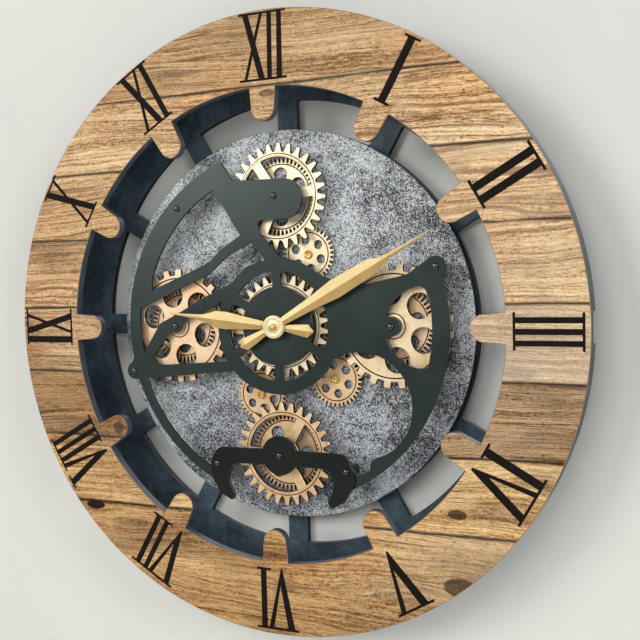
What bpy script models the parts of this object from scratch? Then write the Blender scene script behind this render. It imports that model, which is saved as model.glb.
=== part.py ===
"""Round wall clock: a wooden dial ring round a stone disc with a train of open wheels.

The clock hangs on a wall at y = 0 and faces -Y, with +Z up. Its hands turn about
the Y axis. Sizes are in millimetres, and every height is measured from the wall.
"""
import math

import bmesh
import bpy

MM = 0.001

# Clearances
SEAT = 0.3
RUNNING = 0.4
PRESS_HOLE = 0.3
CUT_OVERRUN = 1.0
EDGE_CHAMFER = 1.0

# Depth of each layer
FRAME_THICK = 7.0
DISC_LIFT = 11.0
DISC_THICK = 3.0
WHEEL_LIFT = 1.5
REAR_WHEEL_THICK = 3.0
LAYER_GAP = 4.5
FRONT_WHEEL_THICK = 4.5
PLATE_LIFT = 4.5
PLATE_THICK = 3.0
BRIDGE_THICK = 2.7
CLOCK_DEPTH = 60.0
RING_THICK = 9.0
RIM_DEPTH = 18.7

# Dial ring, rim and back frame
RING_OUTER = 300.0
RING_WIDTH = 71.0
TAB_LENGTH = 32.0
TAB_WIDTH = 27.8
TAB_TIP_WIDTH = 24.6
HOURS = 12
ROUND_SIDES = 60
SMALL_FILLET = 2.5
RIM_WALL = 4.0
NOTCH_WIDTH = 28.0
NOTCH_DEPTH = 13.0
FRAME_INSET = 10.0
WINDOW_INSET = 5.5
SPOKE_WIDTH = 21.5
RIM_POST_INSET = 32.0
RIM_POST_RADIUS = 6.0
RIM_POST_HOURS = (2, 4, 6, 8, 10, 12)
STANDOFF_INSET = 14.6
STANDOFF_RADIUS = 5.0
STANDOFF_HOURS = (4, 8, 12)
SLOT_DROP = 33.0
SLOT_HEAD_RADIUS = 6.0
SLOT_NECK_WIDTH = 6.0
SLOT_RISE = 14.0

# Stone disc and front plates
DISC_MARGIN = 19.4
PLATE_OUTER = 173.5
RING_ZONE_OUTER = 67.0
RING_WINDOW_OUTER = 54.0
RING_WINDOW_INNER = 38.5
RING_WEB = 8.5
DRAWN_POSTS = {
    "upper_left": (-111.0, 120.0),
    "lobe_left": (-170.0, -47.0),
    "lobe_right": (161.5, 55.0),
    "foot_left": (-70.5, -138.5),
    "foot_right": (70.5, -138.5),
}
BRIDGE_BOSS = 19.5
PLATE_POST_RADIUS = 4.0
SCREW_SHANK = 1.8
SCREW_HEAD = 3.2
SCREW_RISE = 2.2
SCREW_EDGE = 0.6
SCREW_LENGTH = 9.0
PIN_RADIUS = 2.5

# Wheel train
FINE_MODULE = 1.5
IDLER_TEETH = 35
LINK_TEETH = 21
PINION_TEETH = 12
FINE_TEETH = 50
CENTRE_FINE_TEETH = 65
CENTRE_FINE_PHASE = 1.3
FINE_ADDENDUM = 0.85
FINE_DEDENDUM = 1.25
ROOT_SHARE = 0.42
IDLER_ANGLE = 68.22
LINK_ANGLE = 3.39
COARSE_TEETH = 28
COARSE_TIP = 51.6
COARSE_ROOT = 43.2
COARSE_TIP_SHARE = 0.11
COARSE_ROOT_SHARE = 0.36
COARSE_INNER = 38.5
COARSE_SPOKE = 10.0
COARSE_HUB_ZONE = 16.0
BLOCK_TEETH = 24
BLOCK_TIP = 58.4
BLOCK_ROOT = 52.2
BLOCK_TIP_SHARE = 0.2
BLOCK_ROOT_SHARE = 0.27
BLOCK_HOLES = 6
BLOCK_HOLE_CIRCLE = 32.0
BLOCK_HOLE_RADIUS = 12.3
FINE_HOLES = 6
FINE_HOLE_CIRCLE = 21.5
FINE_HOLE_RADIUS = 7.3
IDLER_HOLES = 6
IDLER_HOLE_CIRCLE = 14.2
IDLER_HOLE_RADIUS = 4.4
HUB_WALL = 4.0
CENTRE_HUB_WALL = 3.0
IDLER_PIN_RADIUS = 2.2
IDLER_PIN_HEAD = 4.3
IDLER_PIN_RISE = 1.5
PIN_DISH = 0.6
RIGHT_IDLER_ANGLE = -44.1
HUB_SIDES = 12
CENTRE_HUB_SIDES = 16

# Drive motor, quartz movement and cells
MOTOR_RADIUS = 19.0
MOTOR_THICK = 10.2
MOTOR_SHAFT = 2.5
MOTOR_ANGLE = 210.0
MOVEMENT_EDGE = 1.3
MOVEMENT_BACK = 1.5
MOVEMENT_WALL = 1.5
BAY_WALL = 1.2
BAY_CLEARANCE = 1.0
STEM_RADIUS = 4.0
STEM_PROUD = 1.1
STEM_BORE = 3.1
STEM_BORE_DEPTH = 9.0
SLEEVE_WALL = 1.7
NUT_ACROSS = 14.0
NUT_THICK = 2.6
CELL_RADIUS = 7.1
CELL_LENGTH = 50.0
CELL_NIPPLE = 2.6
CELL_NIPPLE_RISE = 1.2
CELL_SLACK = 0.5
BOX_END_ROOM = 3.2
BOX_SIDE_ROOM = 1.1
BOX_MOUTH = 0.7
BOX_WALL = 1.8
BOX_FLANGE = 4.0
BOX_FLANGE_THICK = 1.6
BOX_BACK = 0.5
BOX_GAP = 56.0

# Hands
HOUR_ANGLE = 276.5
MINUTE_ANGLE = 61.3
HAND_LIFT = 1.2
HAND_EDGE = 0.7
HAND_RIDGE = 1.7
HAND_HUB_RADIUS = 11.2
HAND_HUB_THICK = 1.8
HAND_STACK_GAP = 0.4
PIPE_END_GAP = 1.0
HOUR_PIPE = 2.6
MINUTE_SHAFT = 1.5
HAND_NUT_RADIUS = 3.6
HAND_NUT_THICK = 2.4
NUT_CHAMFER = 0.8
HOUR_STATIONS = ((-42.0, 0.4), (-36.0, 6.4), (-11.0, 3.0), (11.0, 4.0), (55.0, 8.8),
                 (67.0, 8.2), (82.0, 3.2), (103.0, 1.5), (121.5, 0.5))
MINUTE_STATIONS = ((-42.0, 0.4), (-36.2, 6.2), (-11.0, 3.5), (11.0, 3.9), (48.0, 6.3), (75.0, 9.3),
                   (117.0, 7.8), (125.5, 4.1), (142.0, 2.4), (182.0, 0.5))

# Heights that follow from the layers
DISC_BACK = FRAME_THICK + DISC_LIFT
DISC_FRONT = DISC_BACK + DISC_THICK
REAR_LOW = DISC_FRONT + WHEEL_LIFT
REAR_HIGH = REAR_LOW + REAR_WHEEL_THICK
FRONT_LOW = REAR_HIGH + LAYER_GAP
FRONT_HIGH = FRONT_LOW + FRONT_WHEEL_THICK
PLATE_LOW = FRONT_HIGH + PLATE_LIFT
PLATE_HIGH = PLATE_LOW + PLATE_THICK
BRIDGE_LOW = PLATE_HIGH + SEAT
BRIDGE_HIGH = BRIDGE_LOW + BRIDGE_THICK
STEM_TOP = PLATE_HIGH + SEAT + NUT_THICK + STEM_PROUD
HOUR_HAND_HEIGHT = STEM_TOP + HAND_LIFT
RING_LOW = CLOCK_DEPTH - RING_THICK
MOTOR_LOW = FRAME_THICK + SEAT
MOVEMENT_FRONT = MOVEMENT_BACK + 2.0 * CELL_RADIUS + SEAT + MOVEMENT_WALL

# Widths that follow from other sizes
RING_INNER = RING_OUTER - RING_WIDTH
TAB_TIP = RING_INNER - TAB_LENGTH
FRAME_OUTER = RING_OUTER - FRAME_INSET
WINDOW_OUTER = RING_INNER - WINDOW_INSET
SLOT_HEIGHT = FRAME_OUTER - SLOT_DROP
MOVEMENT_WIDTH = CELL_LENGTH + 2.0 * (CELL_SLACK + BAY_WALL + MOVEMENT_EDGE)
BOX_LENGTH = CELL_LENGTH + 2.0 * (BOX_END_ROOM + BOX_WALL)
BOX_WIDTH = 2.0 * (CELL_RADIUS + BOX_SIDE_ROOM + BOX_WALL)
BOX_HEIGHT = 2.0 * CELL_RADIUS + SEAT + BOX_WALL + BOX_MOUTH
BOX_DROP = (MOVEMENT_WIDTH + BOX_WIDTH) / 2.0 + BOX_GAP

# Colours: base colour, roughness, metallic
FINISHES = {
    "wood": ((0.55, 0.36, 0.19), 0.6, 0.0),
    "frame": ((0.020, 0.027, 0.038), 0.55, 0.0),
    "stone": ((0.30, 0.31, 0.34), 0.6, 0.0),
    "plate": ((0.055, 0.075, 0.072), 0.45, 0.0),
    "gold": ((0.78, 0.60, 0.36), 0.38, 0.8),
    "bronze": ((0.62, 0.42, 0.22), 0.42, 0.8),
    "hands": ((0.70, 0.54, 0.27), 0.35, 0.8),
    "brass": ((0.72, 0.50, 0.20), 0.3, 1.0),
    "black_steel": ((0.03, 0.03, 0.03), 0.3, 0.6),
    "black_plastic": ((0.02, 0.02, 0.02), 0.5, 0.0),
    "white_plastic": ((0.75, 0.75, 0.72), 0.5, 0.0),
    "cell": ((0.10, 0.11, 0.13), 0.35, 0.3),
}


def clear_scene():
    for item in list(bpy.data.objects):
        bpy.data.objects.remove(item, do_unlink=True)


def material(finish):
    """Principled material of a named finish, made once and shared."""
    found = bpy.data.materials.get(finish)
    if found:
        return found
    colour, roughness, metallic = FINISHES[finish]
    made = bpy.data.materials.new(finish)
    made.use_nodes = True
    shader = made.node_tree.nodes["Principled BSDF"]
    shader.inputs["Base Color"].default_value = (*colour, 1.0)
    shader.inputs["Roughness"].default_value = roughness
    shader.inputs["Metallic"].default_value = metallic
    made.diffuse_color = (*colour, 1.0)
    return made


def polar(radius, degrees, centre=(0.0, 0.0)):
    turn = math.radians(degrees)
    return (centre[0] + radius * math.cos(turn), centre[1] + radius * math.sin(turn))


def circle(radius, count, centre=(0.0, 0.0), start=0.0):
    return [polar(radius, start + 360.0 * i / count, centre) for i in range(count)]


def arc(radius, first, last, steps, centre=(0.0, 0.0)):
    """Points from one angle to the other, both ends included."""
    return [polar(radius, first + (last - first) * i / steps, centre) for i in range(steps + 1)]


def rounded(corners):
    """Closed outline from (x, y) points and (x, y, fillet radius) corners."""
    outline = []
    total = len(corners)
    for i, corner in enumerate(corners):
        if len(corner) == 2:
            outline.append(corner)
            continue
        x, y, radius = corner
        steps = 2 if radius > SMALL_FILLET else 1
        before = corners[i - 1]
        after = corners[(i + 1) % total]
        ax, ay = before[0] - x, before[1] - y
        bx, by = after[0] - x, after[1] - y
        la, lb = math.hypot(ax, ay), math.hypot(bx, by)
        ax, ay, bx, by = ax / la, ay / la, bx / lb, by / lb
        half = math.acos(max(-1.0, min(1.0, ax * bx + ay * by))) / 2.0
        reach = min(radius / math.tan(half), 0.45 * la, 0.45 * lb)
        size = reach * math.tan(half)
        mx, my = ax + bx, ay + by
        lm = math.hypot(mx, my)
        to_centre = size / math.sin(half)
        cx, cy = x + mx / lm * to_centre, y + my / lm * to_centre
        first = math.atan2(y + ay * reach - cy, x + ax * reach - cx)
        last = math.atan2(y + by * reach - cy, x + bx * reach - cx)
        sweep = (last - first + math.pi) % (2.0 * math.pi) - math.pi
        outline += [(cx + size * math.cos(first + sweep * k / steps),
                     cy + size * math.sin(first + sweep * k / steps)) for k in range(steps + 1)]
    return outline


def pointed_gear(teeth, tip, root, phase, flat_root):
    """Gear outline with one point at each tooth's tip; phase is the angle of a tooth."""
    pitch = 360.0 / teeth
    outline = []
    for i in range(teeth):
        middle = phase + pitch * i
        outline.append(polar(tip, middle))
        for share in (ROOT_SHARE, 1.0 - ROOT_SHARE) if flat_root else (0.5,):
            outline.append(polar(root, middle + pitch * share))
    return outline


def flat_gear(teeth, tip, root, tip_share, root_share, phase):
    """Gear outline with flat tips; the shares are half widths as parts of a pitch."""
    pitch = 360.0 / teeth
    outline = []
    for i in range(teeth):
        middle = phase + pitch * i
        outline.append(polar(tip, middle - pitch * tip_share))
        outline.append(polar(tip, middle + pitch * tip_share))
        outline.append(polar(root, middle + pitch * root_share))
        outline.append(polar(root, middle + pitch * (1.0 - root_share)))
    return outline


def meshed_phase(driver_teeth, driver_phase, teeth, direction):
    """Tooth angle of a wheel that meshes with a driver, seen from it at a direction."""
    along = driver_teeth * (direction - driver_phase) / 360.0
    return direction + 180.0 - (0.5 - along) * 360.0 / teeth


def fine_radius(teeth):
    return FINE_MODULE * teeth / 2.0


def beyond(place, reach):
    """How far out on the axis a wheel lies that is in mesh with one at a place."""
    return max(place) + math.sqrt(reach ** 2 - min(place) ** 2)


# Places on the face: the pivots follow from the wheels in mesh
IDLER_PLACE = polar(fine_radius(CENTRE_FINE_TEETH) + fine_radius(IDLER_TEETH), IDLER_ANGLE)
LINK_PLACE = polar(fine_radius(CENTRE_FINE_TEETH) + fine_radius(LINK_TEETH), LINK_ANGLE)
PIVOT_HEIGHT = beyond(IDLER_PLACE, fine_radius(IDLER_TEETH) + fine_radius(FINE_TEETH))
PIVOT_REACH = beyond(LINK_PLACE, fine_radius(LINK_TEETH) + fine_radius(FINE_TEETH))
MOTOR_PLACE = polar(fine_radius(CENTRE_FINE_TEETH) + fine_radius(PINION_TEETH), MOTOR_ANGLE)
PIVOT_TOP = (0.0, PIVOT_HEIGHT)
PIVOT_BOTTOM = (0.0, -PIVOT_HEIGHT)
PIVOT_LEFT = (-PIVOT_REACH, 0.0)
PIVOT_RIGHT = (PIVOT_REACH, 0.0)
PIVOTS = {
    "top": (PIVOT_TOP, PLATE_HIGH),
    "bottom": (PIVOT_BOTTOM, BRIDGE_HIGH),
    "left": (PIVOT_LEFT, PLATE_HIGH),
    "right": (PIVOT_RIGHT, PLATE_HIGH),
}


def spread(corners):
    """Points of the plates' drawing, whose side wheels are 117.5 out, at the real reach."""
    scale = PIVOT_REACH / 117.5
    return [(corner[0] * scale, corner[1] * scale, *corner[2:]) for corner in corners]


POST_PLACES = dict(zip(DRAWN_POSTS, spread(DRAWN_POSTS.values())))
DISC_RADIUS = spread([(PLATE_OUTER, 0.0)])[0][0] + DISC_MARGIN


class Solid:
    """Closed body made of flat caps and the walls between their outlines."""

    def __init__(self):
        self.mesh = bmesh.new()

    def loop(self, outline, height):
        return [self.mesh.verts.new((x * MM, -height * MM, y * MM)) for x, y in outline]

    def cap(self, outlines, height):
        edges = []
        for outline in outlines:
            corners = self.loop(outline, height)
            for i, corner in enumerate(corners):
                edges.append(self.mesh.edges.new((corners[i - 1], corner)))
        bmesh.ops.triangle_fill(self.mesh, edges=edges, use_beauty=True, normal=(0.0, -1.0, 0.0))

    def wall(self, outline, height, other_height, other=None):
        low = self.loop(outline, height)
        high = self.loop(other or outline, other_height)
        for i in range(len(low)):
            self.mesh.faces.new((low[i - 1], low[i], high[i], high[i - 1]))

    def tip(self, outline, height, peak):
        """Fan from an outline to one point on the part's axis."""
        low = self.loop(outline, height)
        top = self.mesh.verts.new((0.0, -peak * MM, 0.0))
        for i in range(len(low)):
            self.mesh.faces.new((low[i - 1], low[i], top))

    def place(self, name, finish, place=(0.0, 0.0), smooth=True):
        bmesh.ops.remove_doubles(self.mesh, verts=self.mesh.verts, dist=0.00001)
        bmesh.ops.recalc_face_normals(self.mesh, faces=self.mesh.faces)
        data = bpy.data.meshes.new(name)
        self.mesh.to_mesh(data)
        self.mesh.free()
        if smooth:
            data.shade_smooth()
            data.set_sharp_from_angle(angle=math.radians(35.0))
        data.materials.append(material(finish))
        made = bpy.data.objects.new(name, data)
        made.location = (place[0] * MM, 0.0, place[1] * MM)
        bpy.context.collection.objects.link(made)
        return made


def sheet(name, finish, outlines, low, high, place=(0.0, 0.0), smooth=True):
    """Flat part: the first outline is its edge and the others are its holes."""
    body = Solid()
    body.cap(outlines, low)
    body.cap(outlines, high)
    for outline in outlines:
        body.wall(outline, low, high)
    return body.place(name, finish, place, smooth)


def turned(name, finish, profile, count, place=(0.0, 0.0), bored=False):
    """Round part from (radius, height) points; an unbored profile starts and ends on the axis."""
    body = Solid()
    steps = list(zip(profile, profile[1:]))
    if bored:
        steps.append((profile[-1], profile[0]))
    for (ra, ha), (rb, hb) in steps:
        if ra == 0.0:
            body.tip(circle(rb, count), hb, ha)
        elif rb == 0.0:
            body.tip(circle(ra, count), ha, hb)
        else:
            body.wall(circle(ra, count), ha, hb, circle(rb, count))
    return body.place(name, finish, place)


def boolean(target, other, operation):
    """Boolean with a helper object that is left out of the model."""
    other.hide_render = True
    other.display_type = "WIRE"
    modifier = target.modifiers.new(operation.lower(), "BOOLEAN")
    modifier.operation = operation
    modifier.object = other
    return target


def hour_angle(hour):
    return 90.0 - 360.0 * hour / HOURS


def tab_outline(middle):
    """One inward tab of the dial ring, between two runs of the ring's inner edge."""
    half = TAB_WIDTH / 2.0
    tip = TAB_TIP_WIDTH / 2.0
    straight = TAB_TIP + tip
    shape = [(math.sqrt(RING_INNER ** 2 - half ** 2), -half)]
    shape += arc(tip, 270.0, 90.0, 5, (straight, 0.0))
    shape += [(math.sqrt(RING_INNER ** 2 - half ** 2), half)]
    turn = math.radians(middle)
    return [(x * math.cos(turn) - y * math.sin(turn), x * math.sin(turn) + y * math.cos(turn)) for x, y in shape]


def dial_ring():
    inner = []
    half = math.degrees(math.asin(TAB_WIDTH / 2.0 / RING_INNER))
    for hour in range(HOURS):
        middle = 360.0 * hour / HOURS
        inner += tab_outline(middle)
        inner += arc(RING_INNER, middle + half, middle + 360.0 / HOURS - half, 3)[1:-1]
    sheet("dial_ring", "wood", [circle(RING_OUTER, ROUND_SIDES), inner], RING_LOW, CLOCK_DEPTH)


def rim_band():
    """Edge band glued behind the dial ring, with a notch open to the wall at each quarter."""
    high = RING_LOW - SEAT
    low = high - RIM_DEPTH
    outer = RING_OUTER - SEAT
    band = sheet("rim_band", "frame", [circle(outer, ROUND_SIDES), circle(outer - RIM_WALL, ROUND_SIDES)],
                 low, high)
    half = NOTCH_WIDTH / 2.0
    reach = RING_OUTER + RIM_WALL
    cross = [(reach, -half), (reach, half), (half, half), (half, reach), (-half, reach), (-half, half),
             (-reach, half), (-reach, -half), (-half, -half), (-half, -reach), (half, -reach), (half, -half)]
    cutter = sheet("rim_notch_cutter", "frame", [cross], low - CUT_OVERRUN, low + NOTCH_DEPTH)
    boolean(band, cutter, "DIFFERENCE")


def frame_window(middle):
    """Window between two spokes, with parallel spoke sides."""
    def edge(radius):
        return math.degrees(math.asin(SPOKE_WIDTH / 2.0 / radius))
    half = 180.0 / HOURS
    outer = half - edge(WINDOW_OUTER)
    inner = half - edge(DISC_RADIUS)
    return (arc(WINDOW_OUTER, middle - outer, middle + outer, 3)
            + arc(DISC_RADIUS, middle + inner, middle - inner, 3))


def back_frame():
    """Spoked back with the hanging slot at the top and openings for the movement and the cell box."""
    outlines = [circle(FRAME_OUTER, ROUND_SIDES)]
    outlines += [frame_window(hour_angle(hour + 0.5)) for hour in range(HOURS)]
    outlines.append(cell_bay(BAY_WALL + BAY_CLEARANCE))
    length = BOX_LENGTH / 2.0 + SEAT
    width = BOX_WIDTH / 2.0 + SEAT
    outlines.append(rectangle((-length, -BOX_DROP - width), (length, -BOX_DROP + width)))
    neck = SLOT_NECK_WIDTH / 2.0
    corner = math.degrees(math.asin(neck / SLOT_HEAD_RADIUS))
    slot = arc(SLOT_HEAD_RADIUS, 90.0 + corner, 450.0 - corner, 10, (0.0, SLOT_HEIGHT))
    slot += arc(neck, 0.0, 180.0, 3, (0.0, SLOT_HEIGHT + SLOT_RISE))
    outlines.append(slot)
    sheet("back_frame", "frame", outlines, 0.0, FRAME_THICK)


def pillars():
    """Posts that carry the dial ring and standoffs that carry the stone disc."""
    for hour in RIM_POST_HOURS:
        place = polar(RING_OUTER - RIM_POST_INSET, hour_angle(hour))
        sheet("rim_post_%d" % hour, "black_plastic", [circle(RIM_POST_RADIUS, 10)],
              FRAME_THICK + SEAT, RING_LOW - SEAT, place)
    for hour in STANDOFF_HOURS:
        place = polar(DISC_RADIUS - STANDOFF_INSET, hour_angle(hour))
        sheet("disc_standoff_%d" % hour, "black_plastic", [circle(STANDOFF_RADIUS, 10)],
              FRAME_THICK + SEAT, DISC_BACK - SEAT, place)


def sleeve_radius():
    return STEM_RADIUS + SEAT + SLEEVE_WALL


def centre_hub_radius():
    return sleeve_radius() + RUNNING + CENTRE_HUB_WALL


def side_hub_radius():
    return PIN_RADIUS + RUNNING + HUB_WALL


def stone_disc():
    outlines = [circle(DISC_RADIUS, ROUND_SIDES), circle(sleeve_radius() + SEAT, 12)]
    outlines.append(circle(MOTOR_SHAFT + RUNNING, 10, MOTOR_PLACE))
    sheet("stone_disc", "stone", outlines, DISC_BACK, DISC_FRONT)


def ring_window(middle):
    """One of the six windows of the plate's centre ring."""
    def edge(radius):
        return math.degrees(math.asin(RING_WEB / 2.0 / radius))
    outer = 30.0 - edge(RING_WINDOW_OUTER)
    inner = 30.0 - edge(RING_WINDOW_INNER)
    first, last = polar(RING_WINDOW_OUTER, middle - outer), polar(RING_WINDOW_OUTER, middle + outer)
    back, front = polar(RING_WINDOW_INNER, middle + inner), polar(RING_WINDOW_INNER, middle - inner)
    corners = [(*first, 4.0)] + arc(RING_WINDOW_OUTER, middle - outer + 10.0, middle + outer - 10.0, 2)
    corners += [(*last, 4.0), back, polar(RING_WINDOW_INNER, middle), front]
    return rounded(spread(corners))


def plate_edge():
    """Outer edge of the main plate, clockwise from its upper left horn."""
    foot = DRAWN_POSTS["foot_right"]
    corners = [(*polar(PLATE_OUTER, 109.6), 1.0), (-45.6, 144.2, 3.0)]
    corners += arc(19.6, 90.0, -90.0, 6, (10.4, 123.6))
    corners += [(-20.0, 104.0, 8.0), (-17.5, 92.0, 6.0), (3.0, 69.4, 4.0)]
    corners += arc(RING_ZONE_OUTER, 82.0, 52.0, 4)
    corners += [(57.0, 44.5, 8.0), (96.0, 40.0, 20.0), (134.0, 48.0, 14.0)]
    corners += arc(9.5, 128.0, -20.0, 6, DRAWN_POSTS["lobe_right"])
    corners += [(168.6, 45.0, 2.0)]
    corners += arc(PLATE_OUTER, 13.0, -65.0, 8)
    corners += [(*polar(PLATE_OUTER, -66.5), 2.0), (foot[0] - 8.0, foot[1] - 6.0, 3.0),
                (foot[0] - 8.0, foot[1] + 8.0, 7.0), (foot[0] + 4.5, foot[1] + 8.0, 4.0), (80.5, -142.6)]
    corners += [(93.5, -136.4), (95.2, -126.5, 4.0)]
    corners += arc(51.0, -74.0, 124.0, 11, (86.0, -75.0))
    corners += [(52.0, -43.0, 3.0)]
    corners += arc(RING_ZONE_OUTER, -45.0, -132.0, 5)
    corners += [(-49.0, -45.0, 3.0), (-154.6, -54.9, 1.0)]
    corners += arc(164.2, 202.0, 239.0, 5)
    corners += [(-80.5, -142.6), (-foot[0] - 4.5, foot[1] + 8.0, 4.0), (-foot[0] + 8.0, foot[1] + 8.0, 7.0),
                (-foot[0] + 8.0, foot[1] - 6.0, 3.0), (*polar(PLATE_OUTER, 246.5), 2.0)]
    corners += arc(PLATE_OUTER, 245.0, 200.0, 6)
    corners += arc(9.0, -66.0, -250.0, 6, DRAWN_POSTS["lobe_left"])
    corners += arc(PLATE_OUTER, 191.0, 111.0, 8)
    return rounded(spread(corners))


def plate_openings():
    """The shaped openings of the main plate, by eye from its front view."""
    upper = [(*polar(152.3, 116.4), 1.5)] + arc(152.3, 120.0, 160.0, 5) + [(*polar(150.2, 165.8), 1.5)]
    upper += [(-75.0, 64.2, 12.0), (-60.0, 77.4, 14.0), (-38.6, 90.3, 0.8)]
    crescent = [(-159.6, 18.7, 1.5), (-75.0, 52.8, 12.0), (-54.0, 70.0, 20.0), (-26.2, 83.2, 0.8),
                (-11.2, 65.0, 0.8), (-33.0, 59.2, 16.0), (-50.0, 43.0, 14.0), (-88.0, 26.6, 20.0),
                (-114.0, 12.8, 16.0), (-136.0, 3.0, 8.0), (-157.6, -28.2, 0.8)]
    crescent += arc(160.8, 187.0, 176.0, 2)
    reach = RING_ZONE_OUTER - 0.5
    lower = [(-61.4, 25.4, 0.8)] + arc(reach, 165.0, 206.0, 5) + [(-57.4, -35.4, 0.8)]
    lower += [(-139.0, -40.6, 8.0), (-147.4, -33.0, 4.0), (-127.5, -9.8, 20.0), (-122.0, -5.6, 2.0)]
    lower += arc(6.9, 260.0, 360.0, 4, (-117.5, 0.0))[1:]
    lower += [(-107.0, 5.0, 3.0), (-94.0, 11.8, 6.0), (-86.0, 12.0, 6.0)]
    centre = (150.0, -1.0)
    right = arc(38.2, 165.0, 97.0, 6, centre) + [(151.0, 35.2, 4.0)] + arc(157.3, 9.0, -12.0, 3)
    right += [(152.8, -38.0, 4.0)] + arc(38.2, 258.0, 195.0, 6, centre)
    right += arc(9.2, -66.0, 66.0, 6, (117.5, 0.0))
    return [rounded(spread(corners)) for corners in (upper, crescent, lower, right)]


def main_plate():
    """Skeleton plate in front of the wheels."""
    outlines = [plate_edge()] + plate_openings()
    outlines += [ring_window(60.0 * i) for i in range(6)]
    outlines.append(circle(STEM_RADIUS + SEAT, 12))
    hole = SCREW_SHANK + PRESS_HOLE
    outlines += [circle(hole, 6, place) for place in POST_PLACES.values()]
    pin_hole = PIN_RADIUS + PRESS_HOLE
    outlines += [circle(pin_hole, 8, place) for place in (PIVOT_TOP, PIVOT_LEFT, PIVOT_RIGHT)]
    sheet("main_plate", "plate", outlines, PLATE_LOW, PLATE_HIGH)


def bottom_bridge():
    """Bridge over the bottom wheel, screwed on the two feet of the main plate."""
    half = [(54.5, -175.8, 3.5), (68.0, -168.5, 6.0), (76.0, -156.0, 5.0), (78.6, -148.0),
            (78.2, -136.0, 12.0), (70.0, -121.6, 14.0)]
    inside = [(50.4, -170.5, 3.0), (58.4, -153.0, 12.0), (53.0, -137.2, 9.0)]
    half, inside = spread(half), spread(inside)
    bars = spread([(0.0, -121.2), (0.0, -137.0)])
    upper, lower = (math.degrees(math.asin((bar[1] + PIVOT_HEIGHT) / BRIDGE_BOSS)) for bar in bars)
    corners = half + arc(BRIDGE_BOSS, upper, 180.0 - upper, 6, PIVOT_BOTTOM)
    corners += [(-c[0], *c[1:]) for c in reversed(half)]
    corners += [(-c[0], *c[1:]) for c in inside]
    corners += arc(BRIDGE_BOSS, 180.0 - lower, 360.0 + lower, 6, PIVOT_BOTTOM)
    corners += list(reversed(inside))
    outlines = [rounded(corners), circle(PIN_RADIUS + PRESS_HOLE, 8, PIVOT_BOTTOM)]
    for foot in ("foot_left", "foot_right"):
        outlines.append(circle(SCREW_SHANK + PRESS_HOLE, 6, POST_PLACES[foot]))
    sheet("bottom_bridge", "plate", outlines, BRIDGE_LOW, BRIDGE_HIGH)


def screw(name, place, seat, end, shank):
    """Domed screw whose head sits on a face at the seat height."""
    low = seat + SEAT
    profile = [(0.0, end), (shank, end), (shank, low), (SCREW_HEAD, low), (SCREW_HEAD, low + SCREW_EDGE),
               (SCREW_HEAD * 0.7, low + 0.82 * SCREW_RISE), (0.0, low + SCREW_RISE)]
    turned(name, "black_steel", profile, 8, place)


def plate_fasteners():
    """Spacer post under the main plate and a screw through it, at five places."""
    for name, place in POST_PLACES.items():
        on_bridge = name.startswith("foot")
        seat = BRIDGE_HIGH if on_bridge else PLATE_HIGH
        low, high = DISC_FRONT + SEAT, PLATE_LOW - SEAT
        end = seat - SCREW_LENGTH
        hole = SCREW_SHANK + PRESS_HOLE
        bottom = end - SEAT
        profile = [(0.0, low), (PLATE_POST_RADIUS, low), (PLATE_POST_RADIUS, high), (hole, high),
                   (hole, bottom), (0.0, bottom)]
        turned("plate_post_" + name, "black_steel", profile, 8, place)
        screw("plate_screw_" + name, place, seat, end, SCREW_SHANK)


def pivot_screws():
    """Shoulder screws that the four outer wheels turn on."""
    for side, (place, seat) in PIVOTS.items():
        screw("pivot_screw_" + side, place, seat, DISC_FRONT + SEAT, PIN_RADIUS)


def hubbed_wheel(name, finish, edge, windows, bore, hub, place, sides=HUB_SIDES):
    """Front wheel whose hub tube reaches back to the disc."""
    inner, outer = circle(bore, sides), circle(hub, sides)
    low = DISC_FRONT + RUNNING
    body = Solid()
    body.cap([edge] + windows + [inner], FRONT_HIGH)
    body.cap([edge] + windows + [outer], FRONT_LOW)
    for outline in [edge] + windows:
        body.wall(outline, FRONT_LOW, FRONT_HIGH)
    body.wall(outer, low, FRONT_LOW)
    body.wall(outer, low, low, inner)
    body.wall(inner, low, FRONT_HIGH)
    return body.place(name, finish, place)


def coarse_edge(phase):
    return flat_gear(COARSE_TEETH, COARSE_TIP, COARSE_ROOT, COARSE_TIP_SHARE, COARSE_ROOT_SHARE, phase)


def coarse_windows(turn):
    """Three openings between the spokes of a coarse wheel."""
    windows = []
    half = COARSE_SPOKE / 2.0
    outer = 60.0 - math.degrees(math.asin(half / COARSE_INNER))
    inner = 60.0 - math.degrees(math.asin(half / COARSE_HUB_ZONE))
    for i in range(3):
        middle = turn + 60.0 + 120.0 * i
        windows.append(arc(COARSE_INNER, middle - outer, middle + outer, 7)
                       + arc(COARSE_HUB_ZONE, middle + inner, middle - inner, 3))
    return windows


def fine_wheel(name, finish, teeth, phase, openings, place):
    radius = fine_radius(teeth)
    tip = radius + FINE_MODULE * FINE_ADDENDUM
    root = radius - FINE_MODULE * FINE_DEDENDUM
    outlines = [pointed_gear(teeth, tip, root, phase, teeth < LINK_TEETH)] + openings
    sheet(name, finish, outlines, REAR_LOW, REAR_HIGH, place)


def ring_of_holes(count, ring, radius, turn, sides):
    return [circle(radius, sides, polar(ring, turn + 360.0 * i / count)) for i in range(count)]


def direction(first, second):
    return math.degrees(math.atan2(second[1] - first[1], second[0] - first[0]))


def centre_mesh(teeth, place):
    """Phase of a wheel at a place so that it meshes with the centre wheel."""
    return meshed_phase(CENTRE_FINE_TEETH, CENTRE_FINE_PHASE, teeth, direction((0.0, 0.0), place))


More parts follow.
